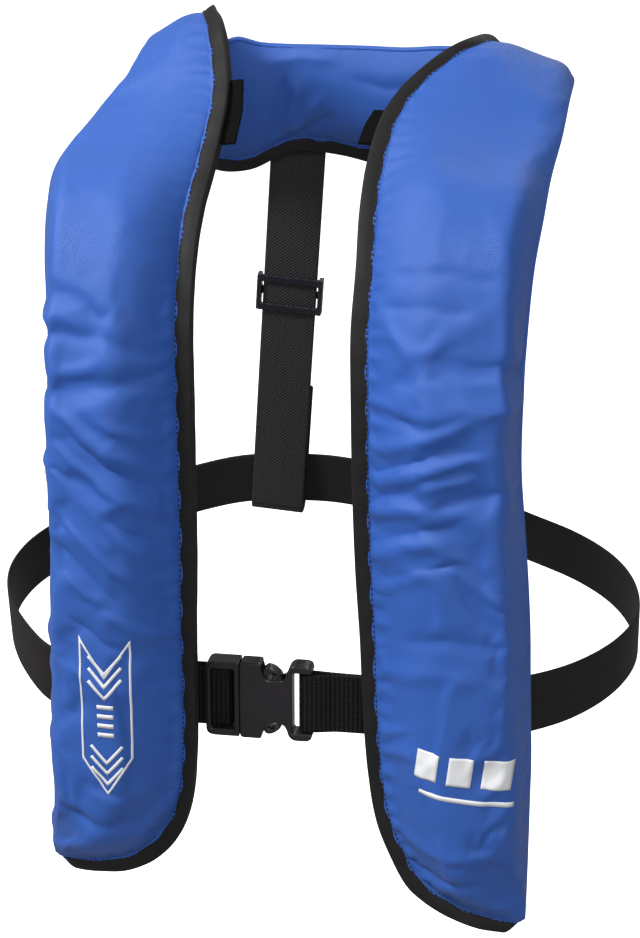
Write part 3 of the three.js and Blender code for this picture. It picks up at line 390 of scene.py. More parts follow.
RIGHT_LOBE = [
    (136, -22, -243, 146, -18, -233, 1, 1, 0), (118, -24, -240, 146, -15, -207, 10, 6, 0),
    (97, -24, -232, 146, -14, -181, 21, 11, 0), (77, -24, -217, 146, -14, -156, 28, 14, 0),
    (65, -24, -195, 146, -14, -130, 30, 12, 0), (56, -24, -170, 145, -14, -104, 30, 12, 0),
    (51, -24, -138, 144, -14, -76, 30, 12, 0), (48, -24, -100, 143, -14, -48, 30, 12, 0),
    (46, -24, -55, 141, -14, -16, 30, 12, 0), (43, -24, -10, 138, -14, 18, 30, 12, 0),
    (41, -24, 40, 135, -14, 56, 30, 12, 0), (40, -24, 90, 135, -14, 96, 30, 12, 0),
    (39, -19, 130, 136, -8, 134, 28, 12, 0), (40, -6, 164, 138, 0, 166, 25, 14, 0),
    (39, 14, 191, 141, 20, 190, 20, 12, 0), (40, 38, 215, 143, 46, 208, 10, 11, 0),
    (45, 62, 236, 147, 73, 226, 5, 10, 0), (57, 82, 252, 149, 97, 241, 5, 10, 0),
    (76, 103, 266, 150, 121, 249, 5, 10, 0), (92, 121, 271, 145, 143, 245, 5, 10, 0),
]
STATIONS = np.array(LEFT_LOBE + YOKE + RIGHT_LOBE[::-1], float)
LEFT_TOP = len(LEFT_LOBE) - 1
LAST_ROW = len(STATIONS) - 1
RIGHT_TOP = LAST_ROW - LEFT_TOP
print("stations", len(STATIONS))

# %% Rows of the strip
def strip_rows(ts):
    values = smooth(STATIONS, ts)
    step = 0.02
    ahead = smooth(STATIONS, np.clip(ts + step, 0, LAST_ROW))
    behind = smooth(STATIONS, np.clip(ts - step, 0, LAST_ROW))
    along = (ahead - behind)[:, :3] + (ahead - behind)[:, 3:6]
    edge, fold = values[:, :3], values[:, 3:6]
    across = fold - edge
    width = np.linalg.norm(across, axis=1)
    out = unit(np.cross(along, across))
    front, rear = np.maximum(values[:, 6], 0.5), np.maximum(values[:, 7], 0.5)
    return edge, unit(across), out, width, front, rear, np.clip(values[:, 8], 0, 1)


def spaced_rows(start, end, step=3.0):
    """Row places about step millimetres apart."""
    ts = np.linspace(start, end, 900)
    edge, across, _, width, *_ = strip_rows(ts)
    middle = edge + across * width[:, None] * 0.4
    length = np.concatenate([[0], np.cumsum(np.linalg.norm(np.diff(middle, axis=0), axis=1))])
    return np.interp(np.linspace(0, length[-1], int(length[-1] / step) + 1), length, ts)


# %% [markdown]
# ## Cloth faces
# Across each row the cloth starts under the edge tape, swells over the folded bladder and comes back to
# the fold. The swell follows a flattened arch, as cloth does when it is stretched over a soft roll.

# %% One face of the cover
FLANGE, FOLD_FLAT, YOKE_LAP, CLOTH = 10.0, 1.5, 12.0, 1.2
EDGE_LIFT, FOLD_LIFT = 1.4, 0.1


def mix(a, b, share):
    return a + (b - a) * share


def swell(v, outer):
    """Share of the crown at v: a slow rise from the sewn edge, a flat panel, a tight turn at the fold."""
    if not outer:
        return 1 - abs(2 * v - 1) ** 2.6
    rise = 1 - max(1 - v / 0.43, 0) ** 2.2
    turn = 1 - max((v - 0.8) / 0.2, 0) ** 2.6
    return rise * turn * (1.03 + 0.03 * math.sin(math.pi * v))


def cover_face(ts, side, arch_columns=44):
    edge, across, out, width, front, rear, yoke = strip_rows(ts)
    outer = side > 0
    start = yoke * YOKE_LAP if outer else yoke * 0
    opening = np.full_like(yoke, FLANGE) if outer else mix(FLANGE, FOLD_FLAT, yoke)
    far = np.full_like(yoke, FOLD_FLAT) if outer else mix(FOLD_FLAT, FLANGE, yoke)
    lift_start = np.full_like(yoke, EDGE_LIFT) if outer else mix(EDGE_LIFT, FOLD_LIFT, yoke)
    lift_end = np.full_like(yoke, FOLD_LIFT) if outer else mix(FOLD_LIFT, EDGE_LIFT, yoke)
    shrink = np.minimum(1, np.maximum(width - start, 0.1) * 0.8 / (opening + far))
    opening, far = opening * shrink, far * shrink
    crown = front if outer else rear
    span = width - start - opening - far
    distance, height = [], []
    for share in (0.0, 0.35, 0.7):
        distance.append(start + opening * share)
        height.append(lift_start + CLOTH)
    for v in (1 - np.cos(np.linspace(0, math.pi, arch_columns))) / 2:
        distance.append(start + opening + v * span)
        height.append(mix(lift_start, lift_end, v) + CLOTH + crown * swell(v, outer))
    for share in (0.5, 1.0):
        distance.append(width - far * (1 - share))
        height.append(lift_end + CLOTH * np.where(lift_end < 1, 1 - share, 1))
    if not outer:  # over the neck the body side turns over the top and under the outer cloth
        for d, h in ((0.0, -0.5), (1.0, -1.6), (8.0, -2.2), (14.0, -2.2)):
            distance.insert(0, mix(distance[0] * 0, d, yoke) if d else distance[0] * 0)
            height.insert(0, mix(EDGE_LIFT + CLOTH, h, yoke))
    distance, height = np.array(distance).T, np.array(height).T
    return (edge[:, None] + across[:, None] * distance[..., None]
            + out[:, None] * (side * height)[..., None])


# %% [markdown]
# ## Folds and puckers
# Soft cloth over a roll never lies even. Long folds run slantwise across the lobes where the body bends
# them, short puckers gather beside the stitched edge, and slow dents come from the bladder inside. Each
# long fold is a short line with a width and a height; the cloth rises or sinks near it.

# %% Fold lines
# (height, width, points of x and z on the lobe's face)
LEFT_FOLDS = [
    (-3.4, 5.5, [(-143, 146), (-128, 152), (-112, 148), (-100, 140)]),
    (2.0, 7.0, [(-140, 133), (-124, 139), (-106, 132)]),
    (-3.2, 5.0, [(-140, 123), (-120, 130), (-98, 129), (-80, 121)]),
    (-2.6, 9.0, [(-128, 96), (-98, 104), (-66, 104)]),
    (-3.0, 5.0, [(-142, 116), (-134, 104), (-126, 88)]),
    (3.4, 4.6, [(-126, 89), (-110, 76), (-98, 66), (-68, 46)]),
    (2.6, 3.6, [(-96, 80), (-82, 73), (-67, 66)]),
    (-2.6, 4.0, [(-112, 68), (-92, 52), (-68, 35)]),
    (3.2, 4.6, [(-124, 66), (-104, 48), (-88, 35), (-68, 22)]),
    (-2.2, 4.0, [(-128, 48), (-108, 32), (-90, 16), (-70, 4)]),
    (3.0, 5.0, [(-134, 56), (-118, 40), (-102, 26), (-84, 4), (-68, -10)]),
    (2.4, 5.0, [(-128, 27), (-110, 8), (-92, -10), (-80, -20)]),
    (-2.0, 6.0, [(-130, 8), (-112, -10), (-94, -28)]),
    (2.2, 4.5, [(-124, -13), (-110, -24), (-98, -32)]),
    (2.0, 5.0, [(-102, -34), (-86, -46), (-68, -58)]),
    (-1.6, 6.0, [(-120, -40), (-100, -56), (-80, -66)]),
    (1.5, 7.0, [(-128, -70), (-106, -84), (-84, -90)]),
    (-1.8, 5.0, [(-130, -168), (-110, -176), (-84, -174)]),
    (1.6, 6.0, [(-120, -150), (-96, -158), (-72, -150)]),
]
RIGHT_FOLDS = [
    (-3.6, 6.0, [(62, 106), (78, 118), (101, 121), (124, 118), (142, 107)]),
    (2.6, 8.0, [(74, 92), (104, 98), (138, 94)]),
    (-2.8, 6.0, [(48, 84), (64, 88), (82, 86)]),
    (3.2, 4.8, [(50, 63), (66, 72), (84, 81), (112, 92)]),
    (-2.4, 4.0, [(54, 52), (74, 64), (98, 76)]),
    (3.0, 4.6, [(52, 44), (72, 57), (96, 66), (118, 72)]),
    (2.4, 5.0, [(76, 48), (94, 54), (112, 58)]),
    (-2.2, 6.0, [(84, 38), (106, 44), (126, 50)]),
    (-1.8, 4.5, [(52, 34), (68, 44), (82, 50)]),
    (2.6, 5.0, [(50, 26), (66, 34), (84, 38)]),
    (2.4, 5.5, [(50, -2), (72, 14), (100, 20)]),
    (-2.0, 5.0, [(58, 12), (80, 24), (104, 32)]),
    (-1.8, 5.0, [(54, -18), (78, 0), (104, 8)]),
    (2.2, 4.5, [(52, -22), (68, -10), (82, -2)]),
    (1.8, 5.0, [(100, 2), (116, -8), (130, -20)]),
    (-1.6, 7.0, [(70, -46), (96, -40), (124, -44)]),
    (1.5, 7.0, [(60, -70), (90, -62), (120, -66)]),
    (-1.4, 3.0, [(60, 166), (90, 170), (126, 166)]),
    (-1.2, 3.0, [(58, 148), (84, 152), (110, 150)]),
    (-2.0, 5.0, [(72, -196), (96, -202), (124, -198)]),
    (1.8, 6.0, [(64, -170), (90, -180), (128, -176)]),
]
YOKE_FOLDS = [
    (-3.6, 3.6, [(-30, 238), (-34, 222), (-38, 206), (-44, 196)]),
    (2.6, 3.4, [(-22, 236), (-26, 220), (-32, 204)]),
    (2.8, 3.4, [(-8, 226), (-20, 212), (-32, 200)]),
    (-2.8, 3.0, [(-2, 214), (-14, 206), (-26, 197)]),
    (-2.4, 4.0, [(-52, 236), (-56, 220), (-54, 206)]),
    (1.8, 5.0, [(-44, 246), (-20, 250), (0, 248)]),
    (-1.6, 6.0, [(10, 238), (34, 232), (56, 236)]),
    (2.0, 4.0, [(30, 206), (48, 214), (64, 212)]),
    (-1.8, 3.6, [(52, 200), (64, 210), (74, 222)]),
]


def near_line(x, z, points):
    """Distance to the line and how far along it, from 0 to 1, for each x and z."""
    best = np.full(x.shape, 1e9)
    place = np.zeros(x.shape)
    points = np.array(points, float)
    for k in range(len(points) - 1):
        a, b = points[k], points[k + 1]
        d = b - a
        s = np.clip(((x - a[0]) * d[0] + (z - a[1]) * d[1]) / (d @ d), 0, 1)
        away = np.hypot(x - a[0] - s * d[0], z - a[1] - s * d[1])
        closer = away < best
        best = np.where(closer, away, best)
        place = np.where(closer, (k + s) / (len(points) - 1), place)
    return best, place


def folds(points, lines):
    x, z = points[..., 0], points[..., 2]
    lift = np.zeros(x.shape)
    for height, width, line in lines:
        away, place = near_line(x, z, line)
        taper = np.clip(np.minimum(place, 1 - place) * 4 + 0.25, 0, 1)
        crest = np.exp(-1.7 * np.sqrt((away / width) ** 2 + 0.05) + 0.38)
        lift += height * taper * crest
    return lift


# %% Waves and puckers
rng = np.random.default_rng(7)


def waves(points, size, count=7):
    """Smooth uneven dents of about the given size, between -1 and 1."""
    total = np.zeros(points.shape[:2])
    for _ in range(count):
        way = unit(rng.normal(size=3))
        total += np.sin(points @ way * 2 * math.pi / (size * rng.uniform(0.7, 1.5)) + rng.uniform(0, 6.28))
    return total / count


def puckers(flat, reach, from_end=False):
    """Small gathers that run in from the stitched edge and fade out."""
    v = flat[..., 1]
    inward = flat[:, -1:, 0] - flat[..., 0] if from_end else flat[..., 0]
    gather = np.sin(v * 2 * math.pi / 11 + 1.5 * np.sin(v / 17))
    gather += 0.6 * np.sin(v * 2 * math.pi / 6.3 + v / 40)
    return gather * np.exp(-((inward - 11) / reach) ** 2)


SEWN_SHARES = (0, 0, 0, 0.05, 0.2, 0.5, 0.8)  # of the lift, over the first columns from the tape
FOLDED_SHARES = (0.4, 0.1, 0)  # and over the last ones, at the fold
END_ROWS, FOLDED_COLUMNS = 4, 13


def displaced(points, side, lift):
    """The grid of points lifted outwards, and less so near its four edges."""
    normal = unit(np.cross(np.gradient(points, axis=0), np.gradient(points, axis=1)))
    facing = normal[:, points.shape[1] // 2] @ np.array([0, -1.0, 0.3]) * side
    if facing.mean() < 0:
        normal = -normal
    fade = np.ones(points.shape[:2])
    fade[:, :len(SEWN_SHARES)] = SEWN_SHARES
    fade[:, -len(FOLDED_SHARES):] = FOLDED_SHARES
    for j in range(len(FOLDED_SHARES) + 1, FOLDED_COLUMNS):
        fade[:, -j] = j / FOLDED_COLUMNS  # the folded side keeps a straight outline
    for k in range(END_ROWS):
        fade[k] *= k / END_ROWS
        fade[-1 - k] *= k / END_ROWS
    return points + normal * (lift * fade)[..., None]


# %% [markdown]
# ## Letting the cloth settle
# A short cloth simulation turns the drawn folds into creases that pull on each other. The sewn edges are
# pinned, the cloth is a few per cent too large for its frame, and light air pressure keeps it off the
# bladder. The sheet is simulated at ten times its size, where the solver is steadier. Only the creases of
# the result are kept, up to about two millimetres high, so the drawn shape stays.

# %% Cloth simulation
SIM_SCALE, SIM_FRAMES, SIM_SLACK = 10.0, 18, 0.05
MOVE_OUT, MOVE_IN, MOVE_ALONG = 1.8, 1.0, 1.2
QUIET_COLUMNS = 9  # beside the tape and beside the fold
TAUT_FROM, TAUT_RISE, TAUT_MOST = 120, 60, 0.75  # over the shoulders the cloth is pulled smooth


def blurred(values, reach=7):
    """The slow part of a grid of values: each one averaged with its neighbours."""
    kernel = np.ones(2 * reach + 1) / (2 * reach + 1)
    for axis in (0, 1):
        values = np.apply_along_axis(
            lambda line: np.convolve(np.pad(line, reach, mode="edge"), kernel, "valid"), axis, values)
    return values


def add_solver(sheet):
    solver = sheet.modifiers.new("solver", "CLOTH")
    settings = solver.settings
    settings.vertex_group_mass = "sewn"
    settings.quality = 5
    settings.mass = 0.25
    settings.tension_stiffness = settings.compression_stiffness = 25
    settings.shear_stiffness = 12
    settings.bending_stiffness = 0.15
    settings.shrink_min = -SIM_SLACK
    settings.use_pressure = True
    settings.uniform_pressure_force = 0.3
    settings.effector_weights.gravity = 0
    solver.point_cache.frame_start = 1
    solver.point_cache.frame_end = SIM_FRAMES


# %% One simulated sheet
def simulated(points, name):
    """How far the simulation moves each point of the grid, in millimetres."""
    rows, columns = points.shape[:2]
    sheet = grid_piece(name + "_sheet", points, flat_map(points), blue_nylon)
    coords = np.empty(rows * columns * 3)
    sheet.data.vertices.foreach_get("co", coords)
    start = coords.reshape(-1, 3).copy()
    sheet.data.vertices.foreach_set("co", coords * SIM_SCALE)
    held = np.zeros((rows, columns), bool)
    held[:3] = held[-3:] = held[:, :4] = held[:, -3:] = True
    sewn = sheet.vertex_groups.new(name="sewn")
    sewn.add([int(k) for k in np.flatnonzero(held)], 1.0, "REPLACE")
    add_solver(sheet)
    for frame_number in range(1, SIM_FRAMES + 1):
        bpy.context.scene.frame_set(frame_number)
    shape = sheet.evaluated_get(bpy.context.evaluated_depsgraph_get()).data
    shape.vertices.foreach_get("co", coords)
    moved = (coords.reshape(-1, 3) / SIM_SCALE - start).reshape(rows, columns, 3) * 1000
    bpy.data.objects.remove(sheet)
    bpy.context.scene.frame_set(1)
    return moved


# %% The creases that are kept
def settled(points, name, side):
    """The grid of points with the creases of a short cloth simulation."""
    moved = simulated(points, name)
    normal = unit(np.cross(np.gradient(points, axis=0), np.gradient(points, axis=1)))
    if (normal[:, points.shape[1] // 2, 1] * side).mean() > 0:
        normal = -normal  # outward is away from the bladder
    height = np.einsum("ijk,ijk->ij", moved, normal)
    sideways = moved - normal * height[..., None]
    print(name, "settled by up to", round(float(np.abs(height).max()), 1), "mm")
    height = np.clip(height - blurred(height), -MOVE_IN, MOVE_OUT)  # creases only, no puffing up
    height[:, -QUIET_COLUMNS:] *= np.linspace(0.9, 0.2, QUIET_COLUMNS)  # the folded side stays straight
    height[:, :QUIET_COLUMNS] *= np.linspace(0, 1, QUIET_COLUMNS)  # the sewn side lies flat under its tape
    reach = np.linalg.norm(sideways, axis=-1, keepdims=True)
    sideways *= np.minimum(1, MOVE_ALONG / np.maximum(reach, 1e-6))
    sideways[:, -QUIET_COLUMNS:] *= np.linspace(0.9, 0.1, QUIET_COLUMNS)[None, :, None]
    taut = np.clip((points[..., 2] - TAUT_FROM) / TAUT_RISE, 0, TAUT_MOST)
    height, sideways = height * (1 - taut), sideways * (1 - taut)[..., None]
    return points + normal * height[..., None] + sideways


# %% [markdown]
# ## Building the covers
# The left front cover is one piece: its lower part opens as a flap over the inflator. Here its placement is
# only baked into its mesh. The rest of the outer cloth and the body side ride on the jacket.

# %% Cover pieces
FOLD_GAIN, PUCKER, NECK_PUCKER, PUCKER_REACH = 1.25, 0.55, 0.5, 9.0
DENTS = ((0.9, 60), (0.35, 22))  # height and size
DEEPEST = -2.4  # the inflator and the tube lie close behind the cloth
CLOTH_THICK = 0.0009


def cover_piece(name, ts, side, lines):
    points = cover_face(ts, side)
    flat = flat_map(points)
    lift = FOLD_GAIN * folds(points, lines)
    for height, size in DENTS:
        lift = lift + height * waves(points, size)
    lift += PUCKER * puckers(flat, PUCKER_REACH)
    if side < 0:
        lift += NECK_PUCKER * puckers(flat, PUCKER_REACH, from_end=True)
    points = displaced(points, side, np.maximum(lift, DEEPEST))
    points = settled(points, name, side)
    piece = grid_piece(name, points, flat, blue_nylon)
    finer(piece)
    shell = piece.modifiers.new("cloth", "SOLIDIFY")
    shell.thickness = CLOTH_THICK
    shell.offset = -1 if side > 0 else 1
    settle(piece)
    print(name, len(piece.data.vertices), "points")
    return piece


left_ts = spaced_rows(0, LEFT_TOP)
rest_ts = spaced_rows(LEFT_TOP, LAST_ROW)
all_ts = spaced_rows(0, LAST_ROW)
cover_left = cover_piece("cover_front_left", left_ts, 1, LEFT_FOLDS)
cover_rest = cover_piece("cover_front_right_and_neck", rest_ts, 1, RIGHT_FOLDS)
cover_body = cover_piece("cover_body_side", all_ts, -1, YOKE_FOLDS)
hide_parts("front_cover_left", "front_cover_flap")
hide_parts("front_cover_right", "front_cover_yoke")
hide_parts("rear_cover_left", "rear_cover_yoke", "rear_cover_right")


def ride(piece, body):
    """Rides the piece on a body; a piece for the flap only has its placement baked into its mesh."""
    if body == "flap":
        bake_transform(piece)
    else:
        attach(piece, body)


ride(cover_left, "flap")
ride(cover_rest, "jacket")
ride(cover_body, "jacket")

# %% [markdown]
# ## Edge tape and its stitches
# Woven tape is folded round each raw edge and sewn through. A U-shaped section is swept along the edge,
# a little fuller in the middle than at the stitches, and small thread loops follow its inner border.

# %% Tape section and sweep
TAPE_REACH = 9.3  # how far in from the edge the tape lies


def tape_section():
    low, high, back, reach = 0.2, 3.9, -1.2, TAPE_REACH
    middle = (low + high) / 2
    half = (high - low) / 2
    turn = [(back * math.sin(a) - 0.1, middle + half * math.cos(a)) for a in np.linspace(0, math.pi, 9)]
    top = [(reach, high - 0.9), (reach - 0.6, high - 0.45), (reach * 0.8, high - 0.25),
           (reach * 0.5, high + 0.25), (reach * 0.22, high + 0.2)]
    bottom = [(reach * 0.5, low), (reach - 0.4, low), (reach, low + 0.4), (reach - 0.4, low + 0.9)]
    inside = [(reach * 0.5, low + 1.1), (0.8, low + 1.3), (0.8, high - 1.2), (reach * 0.6, high - 1.1)]
    return np.array(top + turn + bottom + inside)


def edge_frame(ts, side, from_fold=False):
    """Where the tape runs at each row, and the share of its reach that the row has room for."""
    edge, across, out, width, *_, yoke = strip_rows(ts)
    outer = side > 0
    start = yoke * YOKE_LAP if outer else yoke * 0
    margin = np.full_like(yoke, FLANGE)
    far = np.full_like(yoke, FOLD_FLAT) if outer else mix(FOLD_FLAT, FLANGE, yoke)
    if not outer:
        margin = mix(FLANGE, FOLD_FLAT, yoke)
    shrink = np.minimum(1, np.maximum(width - start, 0.1) * 0.8 / (margin + far))
    share = np.minimum(1, ((far if from_fold else margin) * shrink - 0.2) / TAPE_REACH)
    return edge, across, out, width, start, share


def tape(name, ts, side, body, nodes, from_fold=False):
    edge, across, out, width, start, share = edge_frame(ts, side, from_fold)
    section = tape_section()
    inwards, outwards = np.maximum(section[:, 0], 0), np.minimum(section[:, 0], 0)
    reach = inwards[None] * share[:, None] + outwards
    distance = (width[:, None] - reach) if from_fold else (start[:, None] + reach)
    height = section[:, 1][None] + 0.18 * np.sin(np.arange(len(ts))[:, None] * 0.9)
    points = edge[:, None] + across[:, None] * distance[..., None] + out[:, None] * (side * height)[..., None]
    piece = grid_piece(name, points, flat_map(points), edge_tape, loop_across=True)
    close_ends(piece)
    finer(piece)
    settle(piece)
    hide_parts(*nodes)
    ride(piece, body)
    return piece


def close_ends(piece):
    work = bmesh.new()
    work.from_mesh(piece.data)
    rims = [e for e in work.edges if e.is_boundary]
    bmesh.ops.holes_fill(work, edges=rims, sides=0)
    bmesh.ops.recalc_face_normals(work, faces=work.faces)
    work.to_mesh(piece.data)
    work.free()


tape("tape_front_left", left_ts, 1, "flap", ["front_binding_left", "front_binding_flap"])
tape("tape_front_right_and_neck", rest_ts, 1, "jacket", ["front_binding_right", "front_binding_yoke"])
tape("tape_body_left", spaced_rows(0, LEFT_TOP + 0.6), -1, "jacket", ["rear_binding_left"])
tape("tape_body_right", spaced_rows(RIGHT_TOP - 0.6, LAST_ROW), -1, "jacket", ["rear_binding_right"])
neck_ts = spaced_rows(LEFT_TOP + 3, RIGHT_TOP - 3)
tape("tape_neck", neck_ts, -1, "jacket", ["rear_binding_yoke"], from_fold=True)

# %% Stitches
STITCH_PITCH, STITCH_LENGTH_SHARE, STITCH_INSET, STITCH_HEIGHT = 3.4, 0.68, 7.9, 3.75
STITCH_RINGS = ((0, -0.3, 0.25), (0.25, 0.2, 0.38), (0.75, 0.2, 0.38), (1, -0.3, 0.25))  # place, lift, radius
RING_SIDES, RING_FLATNESS = 6, 0.7


def add_stitch(work, a, b, out):
    """One thread loop from a to b, with both ends down in the tape."""
    wide = unit(np.cross(unit(b - a), out))
    rings = []
    for s, lift, size in STITCH_RINGS:
        centre = a + (b - a) * s + out * lift
        ring = [centre + wide * size * math.cos(q) + out * size * RING_FLATNESS * math.sin(q)
                for q in np.linspace(0, 2 * math.pi, RING_SIDES, endpoint=False)]
        rings.append([work.verts.new((p - ORIGIN) / 1000) for p in ring])
    for low, high in zip(rings, rings[1:]):
        for j in range(RING_SIDES):
            m = (j + 1) % RING_SIDES
            work.faces.new((low[j], low[m], high[m], high[j]))
    work.faces.new(rings[0][::-1])
    work.faces.new(rings[-1])


def stitch_row(name, ts, side, body, from_fold=False):
    edge, across, out, width, start, share = edge_frame(ts, side, from_fold)
    reach = STITCH_INSET * share[:, None]
    line = edge + across * (width[:, None] - reach if from_fold else start[:, None] + reach)
    line = line + out * side * STITCH_HEIGHT
    path, _ = resample(line, STITCH_PITCH, fine=8)
    outs = np.stack([np.interp(np.linspace(0, 1, len(path)), np.linspace(0, 1, len(out)), out[:, k])
                     for k in range(3)], axis=1) * side
    work = bmesh.new()
    for here, after, way_out in zip(path, path[1:], outs):
        add_stitch(work, here, here + (after - here) * STITCH_LENGTH_SHARE, way_out)
    mesh = finished_mesh(name, work)
    mesh.shade_smooth()
    ride(placed(name, mesh, thread), body)


stitch_row("stitches_front_left", left_ts, 1, "flap")
stitch_row("stitches_front_right", rest_ts, 1, "jacket")
stitch_row("stitches_neck", neck_ts, -1, "jacket", from_fold=True)

# %% [markdown]
# ## Prints
# The left lobe carries a pull arrow with plain dashes, the right one three plain blocks over a bar. Each
# print is drawn as strokes on a flat sheet, cut into small cells and dropped onto the finished cloth, so it
# follows every fold.

# %% Strokes
def stroke_rails(points, width, closed):
    """From each point of a stroke, half its width to the side, mitred where the stroke turns."""
    count = len(points)
    rails = []
    for k in range(count):
        ways = []
        if closed or k:
            ways.append(unit(points[k] - points[k - 1]))
        if closed or k + 1 < count:
            ways.append(unit(points[(k + 1) % count] - points[k]))
        normals = [np.array([-w[1], w[0]]) for w in ways]
        bend = unit(np.sum(normals, axis=0))
        rails.append(bend * (width / 2) / max(bend @ normals[0], 0.3))
    return rails


def stroke_cells(points, width, closed=False, step=1.6):
    """The stroke as grids of points about step millimetres apart, one grid for each straight part."""
    points = np.array(points, float)
    count = len(points)
    rails = stroke_rails(points, width, closed)
    cells = []
    for k in range(count if closed else count - 1):
        m = (k + 1) % count
        parts = max(int(np.linalg.norm(points[m] - points[k]) / step), 1)
        wide = max(int(width / step), 1)
        s = np.linspace(0, 1, parts + 1)[:, None, None]
        w = np.linspace(-1, 1, wide + 1)[None, :, None]
        cells.append(mix(points[k] + rails[k] * w, points[m] + rails[m] * w, s))
    return cells


# %% Strokes dropped onto the cloth
INK_PROUD, INK_THICK = 0.00025, 0.00012  # metres off the cloth, and thick
DROP_FROM = -0.4


def printed(name, strokes, cloth, body):
    corners = [vertex.co for vertex in cloth.data.vertices]
    tree = BVHTree.FromPolygons(corners, [face.vertices for face in cloth.data.polygons])
    work = bmesh.new()
    for cells in strokes:
        grid = []
        for line in cells:
            drawn = []
            for x, z in line:
                start = Vector(((x - ORIGIN[0]) / 1000, DROP_FROM, (z - ORIGIN[2]) / 1000))
                hit, normal, _, _ = tree.ray_cast(start, Vector((0, 1, 0)))
                drawn.append(work.verts.new(hit + normal * (INK_PROUD if normal.y < 0 else -INK_PROUD)))
            grid.append(drawn)
        for low, high in zip(grid, grid[1:]):
            for j in range(len(low) - 1):
                work.faces.new((low[j], high[j], high[j + 1], low[j + 1]))
    bmesh.ops.remove_doubles(work, verts=work.verts, dist=2e-5)
    piece = placed(name, finished_mesh(name, work), print_ink)
    film = piece.modifiers.new("film", "SOLIDIFY")
    film.thickness = INK_THICK
    film.offset = 0
    settle(piece)
    ride(piece, body)
    print(name, len(piece.data.vertices), "points")


# %% Arrow on the left lobe, blocks and a bar on the right
ARROW_X, ARROW_HALF, ARROW_TOP, ARROW_FOOT, ARROW_POINT = -101.5, 14.5, -53.0, -152.0, 23.0
CHEVRON_HALF, CHEVRON_DROP, DASH_HALF = 9.5, 11, 5
arrow_left, arrow_right = ARROW_X - ARROW_HALF, ARROW_X + ARROW_HALF
arrow = stroke_cells([(arrow_left, ARROW_TOP), (ARROW_X, ARROW_TOP - ARROW_POINT),
                      (arrow_right, ARROW_TOP - 2), (arrow_right, ARROW_FOOT + ARROW_POINT),
                      (ARROW_X, ARROW_FOOT), (arrow_left, ARROW_FOOT + ARROW_POINT)], 1.3, closed=True)
for top in (-63, -70.5, -78, -120.5, -127.5, -134.5):
    arrow += stroke_cells([(ARROW_X - CHEVRON_HALF, top), (ARROW_X, top - CHEVRON_DROP),
                           (ARROW_X + CHEVRON_HALF, top)], 1.9)
for level in (-95, -101, -107, -113):
    arrow += stroke_cells([(ARROW_X - DASH_HALF, level), (ARROW_X + DASH_HALF, level)], 2.8)
printed("print_pull_arrow", arrow, cover_left, "flap")
bars = stroke_cells([(82, -119), (95, -120.5)], 18) + stroke_cells([(101, -121.2), (115, -122.8)], 18)
bars += stroke_cells([(121, -123.4), (138, -125.4)], 18)
bars += stroke_cells([(84, -137), (139, -144)], 3.0)
printed("print_rating_bars", bars, cover_rest, "jacket")

# %% [markdown]
# ## Webbing
# A belt is a flat band with rounded selvedges. Its section is swept along a smooth path, and at each point
# the band's width leans a little to the front, because the loop rises towards the back.

# %% Band sweep
RIB_POINTS, RIB_HEIGHT = 15, 0.12


def band(name, path, width, thickness, material, leans=None, step=3.0, ribs=0.0):
    path = np.asarray(path, float)
    leans = np.zeros(len(path)) if leans is None else np.asarray(leans, float)
    line, _ = resample(np.hstack([path, leans[:, None]]), step)
    centre, tilt = line[:, :3], np.radians(line[:, 3])
    along = np.gradient(centre, axis=0)
    along[:, 2] = 0
    along = unit(along)
    high = np.stack([np.zeros(len(tilt)), -np.sin(tilt), np.cos(tilt)], axis=1)
    thick = unit(np.cross(along, high))
    return band_mesh(name, centre, high, thick, width, thickness, material, ribs)


def band_mesh(name, centre, high, thick, width, thickness, material, ribs=0.0):
    w, t = width / 2, thickness / 2
    across = np.linspace(-w + 0.8, w - 0.8, RIB_POINTS)
    bulge = t + ribs * np.cos(np.arange(RIB_POINTS) * math.pi)
    front = list(zip(across, bulge))
    back = [(a, -b) for a, b in front[::-1]]
    section = np.array(front + [(w - 0.15, t * 0.55), (w, 0), (w - 0.15, -t * 0.55)]
                       + back + [(-w + 0.15, -t * 0.55), (-w, 0), (-w + 0.15, t * 0.55)])
    points = (centre[:, None] + high[:, None] * section[None, :, :1] + thick[:, None] * section[None, :, 1:])
    piece = grid_piece(name, points, flat_map(points), material, loop_across=True)
    close_ends(piece)
    finer(piece)
    settle(piece)
    return piece


# %% The waist belt
BELT_Z, BELT_WIDTH, WEBBING, BELT_LEAN = -109.0, 38.0, 2.0, 12.0
LOOP_FRONT, LOOP_BACK, LOOP_TURN = -4.0, 3.0, 5.8
FRONT_LOOP = [(60, 1.5), (40, 1.5), (24, 2.2), (15.5, LOOP_BACK), (9.5, LOOP_BACK), (6.9, LOOP_BACK - 0.4),
              (LOOP_TURN, LOOP_BACK - 2.2), (LOOP_TURN, LOOP_FRONT + 2.2), (6.9, LOOP_FRONT + 0.4),
              (9.5, LOOP_FRONT), (15, LOOP_FRONT), (22, -2.4), (30, -1.1), (60, -1.1), (86, -0.9)]
BELT_RING = [
    (86, -0.9, -109), (104, -0.6, -109), (132, 6, -107), (165, 26, -104), (190, 54, -99), (203, 88, -94),
    (201, 124, -89), (187, 156, -84), (162, 184, -80), (128, 206, -76), (88, 221, -68), (44, 229, -59),
    (2, 232.5, -53), (-28, 233.5, -52), (-68, 231.5, -54), (-98, 223.5, -59), (-126, 212, -66),
    (-152, 199, -74), (-180, 176, -83), (-198, 146, -89), (-203, 112, -93), (-197, 78, -96),
    (-182, 44, -99), (-160, 14, -104), (-144, 3.6, -107.6), (-134, 0.8, -108.8), (-124, 0.4, -109),
    (-112, 0.4, -109), (-90, 0.4, -109),
]
leans = [BELT_LEAN * min(max((p[1] - 10) / 80, 0), 1) for p in BELT_RING]
